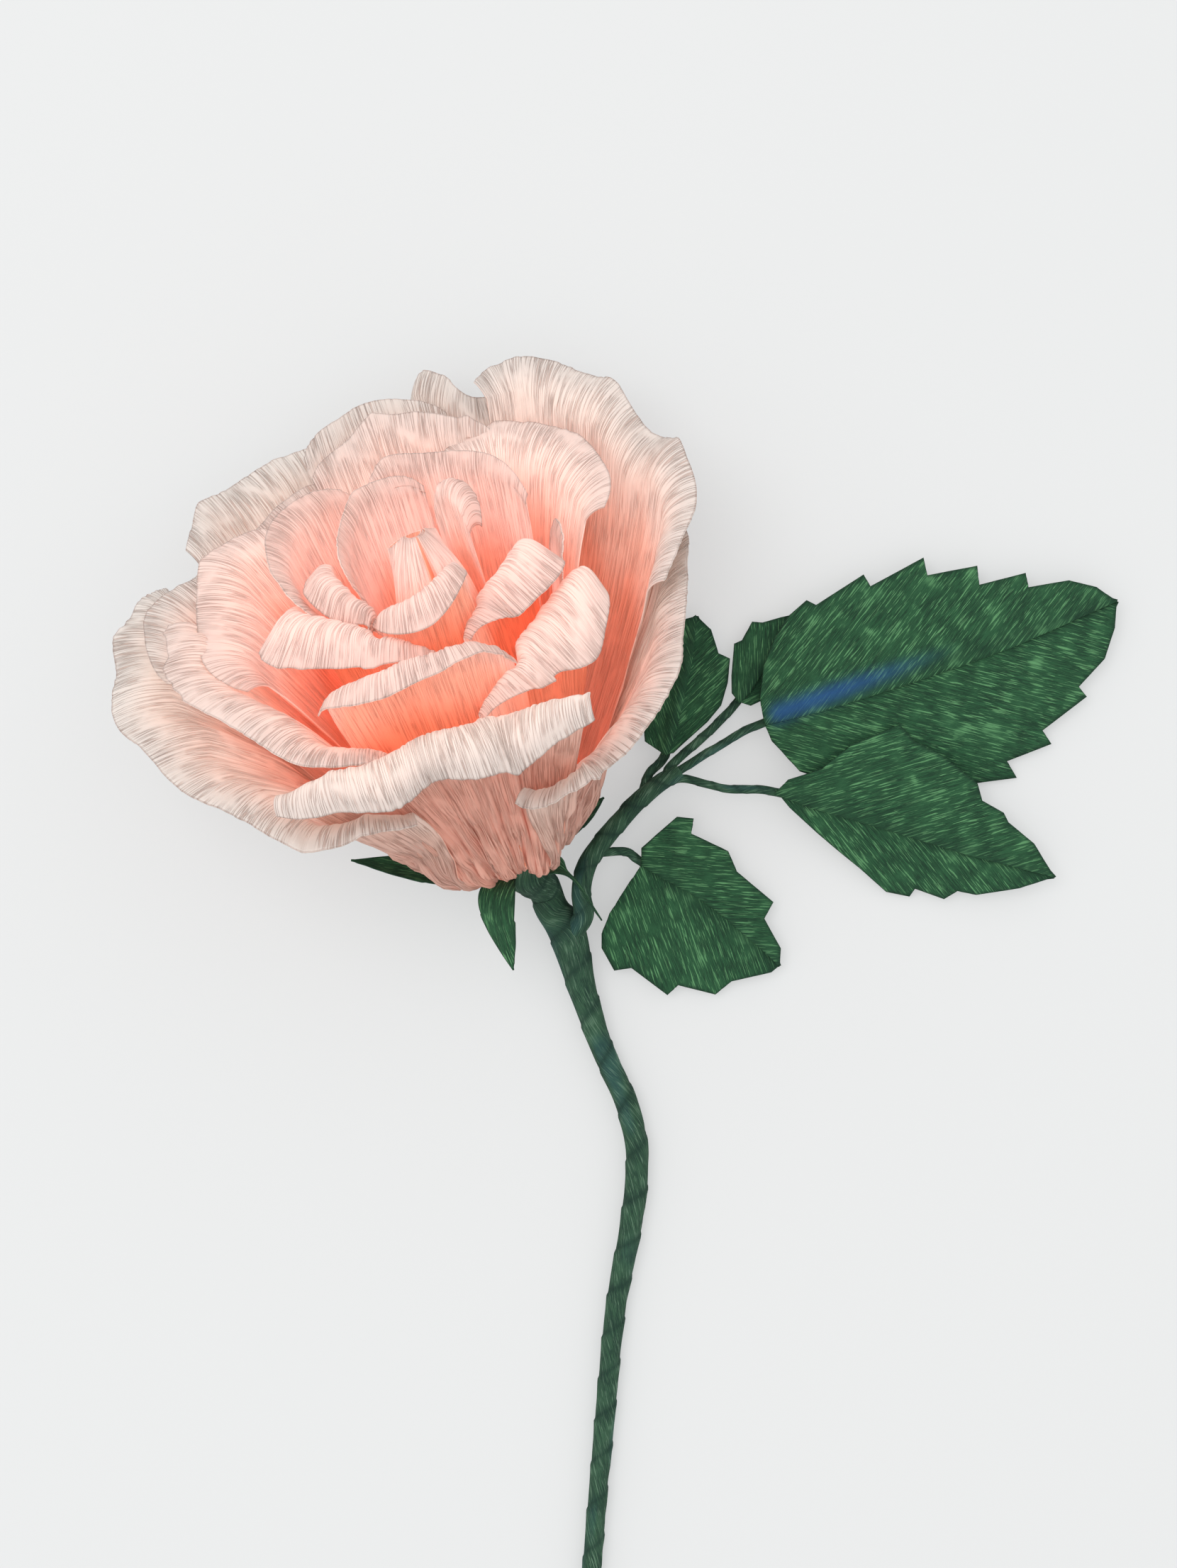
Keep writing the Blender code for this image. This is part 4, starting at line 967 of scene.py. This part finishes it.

# %% [markdown]
# The petals' paper is dyed deep coral at the foot and left almost cream at the rim. The deep coral is
# partly painted light, for the light that bounces between the petals, so the heart of the flower glows;
# the rims look dusty, and their very edge is painted darker as painted shade. The painted numbers choose
# between three ramps of colour: one for the heart's petals, one for the pale outer ones, and a duller one
# for the outside of the cup, which is partly dye and partly painted shade. The fine lines are painted
# shade in the creases, in a dusty pink, more strongly on the outer petals, which were stretched most.

# %% The petals' colour
# The deep coral is the dye and partly painted light, for the light that bounces between the petals.
DEEP_CORAL = (1.0, 0.33, 0.18)
CORAL = (1.0, 0.47, 0.33)
PINK = (1.0, 0.78, 0.70)
HEART_RIM = (0.93, 0.73, 0.66)
CREAM_RIM = (0.88, 0.82, 0.77)
OUTER_CREAM = (0.93, 0.80, 0.72)
OUTER_CORAL = (0.99, 0.64, 0.52)
# Painted shade: a thin darker line along the rim's very edge.
RIM_EDGE = (0.70, 0.58, 0.53)
# Painted shade in the fine creases.
DUSTY_LINES = (0.82, 0.70, 0.66)
# The cup's outside grows duller and darker towards the foot, partly dye and partly painted shade.
CUP_SHADES = [(0.0, (0.84, 0.74, 0.67)), (0.25, (0.80, 0.62, 0.54)), (0.6, (0.72, 0.51, 0.43)),
              (1.0, (0.70, 0.45, 0.37))]

petal_paper, nodes, shader = new_material("petal crepe paper")
depth, outside, pale = paint_numbers(nodes)
heart = ramp(nodes, depth,
             [(0.0, RIM_EDGE), (0.01, HEART_RIM), (0.28, PINK), (0.68, CORAL), (1.0, DEEP_CORAL)])
outer = ramp(nodes, depth,
             [(0.0, RIM_EDGE), (0.01, CREAM_RIM), (0.30, OUTER_CREAM), (0.70, OUTER_CORAL), (1.0, CORAL)])
colour = mix(nodes, outside, mix(nodes, pale, heart, outer), ramp(nodes, depth, CUP_SHADES))
folds = creases(nodes, 2.1, 0.05, 0.05, 2.0)
# Painted shade in the fine creases, stronger on the pale outer petals.
stretched = compute(nodes, "MULTIPLY_ADD", pale, 0.5, 0.45)
faint = compute(nodes, "MULTIPLY", folds["Lines"], stretched)
colour = mix(nodes, faint, colour, DUSTY_LINES, "MULTIPLY")
print("petal colour:", len(nodes), "nodes")

# %% [markdown]
# Light also shines through the paper. A translucent share is mixed in, so a petal lit from behind lights
# up in the colour of its neighbour. Deep between the petals, light goes back and forth many times and
# takes up more of the dye at each turn. A faint glow in the paper's own colour, strongest halfway down,
# stands for the light that is caught there.

# %% Petal paper
THROUGH = 0.28
CAUGHT_LIGHT, CAUGHT_OUTSIDE = 0.32, (0.1, 0.1, 0.1)
CAUGHT = [(0.04, 0.0), (0.22, 0.6), (0.5, 1.0), (1.0, 0.62)]

held = ramp(nodes, depth, [(place, (level, level, level)) for place, level in CAUGHT])
glow = mix(nodes, 1.0, mix(nodes, outside, held, CAUGHT_OUTSIDE), colour, "MULTIPLY")
bump = add(nodes, "ShaderNodeBump", {"Strength": 0.8, "Distance": 0.0003, "Height": folds["Height"]})
for name, value in {"Base Color": colour, "Roughness": 0.9, "Specular IOR Level": 0.15,
                    "Emission Color": glow, "Emission Strength": CAUGHT_LIGHT,
                    "Normal": bump.outputs[0]}.items():
    fill(shader.inputs[name], value)
through = add(nodes, "ShaderNodeBsdfTranslucent", {"Color": colour})
blend = add(nodes, "ShaderNodeMixShader", {0: THROUGH, 1: shader.outputs[0], 2: through.outputs[0]})
fill(nodes["Material Output"].inputs["Surface"], blend.outputs[0])
for piece in [*petals, rolled_bud]:
    piece.data.materials.append(petal_paper)
print("petal paper on", len(petals) + 1, "pieces")

# %% [markdown]
# The leaves are cut from dark green paper. Along the creases the dye is uneven, with light flecks where
# the paper was stretched, and the folds carry almost black lines of painted shade. The cut edge is darker,
# and a stroke of blue chalk follows the midrib of the largest leaflet. The stem's strip is the same kind
# of paper, greyer from being stretched, with dark lines of painted shade at the steps and bluish patches.

# %% Leaf paper
LEAF_GREEN = (0.020, 0.085, 0.036)
LEAF_FLECK = (0.115, 0.30, 0.130)
LEAF_DARK = (0.008, 0.034, 0.018)
BLUE_CHALK = (0.02, 0.085, 0.26)
STEM_GREEN = (0.034, 0.090, 0.050)
STEM_FLECK = (0.11, 0.20, 0.13)
STEM_DARK = (0.010, 0.034, 0.024)
STEM_PATCH = (0.03, 0.10, 0.12)


def green_paper(name, base, fleck, dark, second, second_share, third):
    """Paper with its flecks and folds; the three painted numbers bring in dark, second and third."""
    made, nodes, shader = new_material(name)
    paint = paint_numbers(nodes)
    flecks, folds = creases(nodes, 3.4, 0.20, 0.10, 6.0), creases(nodes, 3.4, 0.15, 0.09, 4.0)
    light = add(nodes, "ShaderNodeMapRange", {"Value": flecks["Height"], "From Min": 0.36, "From Max": 0.62})
    colour = mix(nodes, compute(nodes, "MULTIPLY", light.outputs["Result"], 0.85), base, fleck)
    # The fold lines, and on the stem the lines at the steps, are painted shade; the cut edge, the midrib, the
    # patches and the chalk are the paper's own colour.
    for value, share, toward in ((folds["Lines"], 0.9, dark), (paint[1], second_share, second),
                                 (paint[0], 0.8, dark), (paint[2], 0.75, third)):
        colour = mix(nodes, compute(nodes, "MULTIPLY", value, share), colour, toward)
    bump = add(nodes, "ShaderNodeBump", {"Strength": 0.45, "Distance": 0.00025, "Height": folds["Height"]})
    for key, value in {"Base Color": colour, "Roughness": 0.85, "Specular IOR Level": 0.25,
                       "Normal": bump.outputs[0]}.items():
        fill(shader.inputs[key], value)
    return made


leaf_paper = green_paper("leaf crepe paper", LEAF_GREEN, LEAF_FLECK, LEAF_DARK, LEAF_DARK, 0.45, BLUE_CHALK)
stem_paper = green_paper("stem crepe strip", STEM_GREEN, STEM_FLECK, STEM_DARK, STEM_PATCH, 0.35, STEM_DARK)
dressed = [p for p in bpy.data.objects if p.type == "MESH" and not p.data.materials]
leaf_pieces = [p for p in dressed if p.name.startswith(("leaflet_", "sepal_"))]
strips = [p for p in dressed if p.name.endswith("_strip")]
for pieces, finish in ((leaf_pieces, leaf_paper), (strips, stem_paper)):
    for piece in pieces:
        piece.data.materials.append(finish)
print("leaf paper on", len(leaf_pieces), "pieces, stem paper on", len(strips))

# %% [markdown]
# The wire inside the stem shows only at the cut end. It is drawn steel with fine marks along it.

# %% Bare wire
wire_finish, nodes, shader = new_material("bare stem wire")
marks = add(nodes, "ShaderNodeTexNoise", {"Scale": 900.0})
shade = ramp(nodes, marks.outputs["Fac"], [(0.3, (0.20, 0.21, 0.20)), (0.7, (0.42, 0.43, 0.42))])
for name, value in {"Base Color": shade, "Metallic": 1.0, "Roughness": 0.45}.items():
    fill(shader.inputs[name], value)
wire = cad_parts["stem_wire"]
wire.data.materials.clear()
wire.data.materials.append(wire_finish)
print("finished", wire.name)

# %% [markdown]
# ## The picture
# The rose lies on a pale bench. The bench keeps the rose's soft shadow, but a photographer would light it
# so evenly that it looks almost white. So half of what the camera sees of it is an even pale tone, and
# everything else in the scene is lit by the plain bench.

# %% The bench
SEEN_EVEN = 0.5
bpy.ops.mesh.primitive_plane_add(size=6.0, location=(0, 0, -0.0002))
floor = bpy.context.object
floor.name = "bench"
floor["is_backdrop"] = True
floor_finish, nodes, shader = new_material("pale bench")
for name, value in {"Base Color": (0.68, 0.69, 0.69), "Roughness": 0.9, "Specular IOR Level": 0.1}.items():
    fill(shader.inputs[name], value)
seen = add(nodes, "ShaderNodeEmission", {"Color": (0.85, 0.86, 0.86)})
half = compute(nodes, "MULTIPLY", nodes.new("ShaderNodeLightPath").outputs["Is Camera Ray"], SEEN_EVEN)
softened = add(nodes, "ShaderNodeMixShader", {0: half, 1: shader.outputs[0], 2: seen.outputs[0]})
fill(nodes["Material Output"].inputs["Surface"], softened.outputs[0])
floor.data.materials.append(floor_finish)
print("bench:", [round(float(s), 1) for s in floor.dimensions], "m")

# %% [markdown]
# The room is an even pale light from all sides, so the folds are shaded by how much of it they can see.
# One large disk of light, like a window on the left, gives the shading a direction.

# %% Room and window
world = bpy.data.worlds.new("pale room")
bpy.context.scene.world = world
world.use_nodes = True
background = world.node_tree.nodes["Background"]
fill(background.inputs["Color"], (1.0, 1.0, 1.0))
fill(background.inputs["Strength"], 1.0)

window_place = Vector((-0.45, 0.3, 1.25))
lamp = bpy.data.lights.new("window", "AREA")
lamp.shape = "DISK"
lamp.size = 0.9
lamp.energy = 5.5
window = bpy.data.objects.new("window", lamp)
window.location = window_place
window.rotation_euler = (-window_place).to_track_quat("-Z", "Y").to_euler()
bpy.context.scene.collection.objects.link(window)
print("window", round(lamp.size, 2), "m wide,", lamp.energy, "W")

# %% [markdown]
# The camera hangs straight above the rose and looks down, as the photographer did.

# %% Camera
camera = bpy.data.cameras.new("overhead")
camera.lens = 52.3
camera.sensor_width = 36.0
overhead = bpy.data.objects.new("overhead", camera)
overhead.location = (bench_shift[0] * MM, bench_shift[1] * MM, 0.480)
bpy.context.scene.collection.objects.link(overhead)
bpy.context.scene.camera = overhead
bpy.context.scene.view_settings.view_transform = "Standard"
print("camera at", [round(c, 3) for c in overhead.location])

# %% [markdown]
# Last, the two boxes are written down, to see that the dressed rose has kept the frame's size.

# %% The two boxes
visual_low, visual_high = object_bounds()
print("dressed", [round(1000 * c) for c in visual_high - visual_low], "mm")
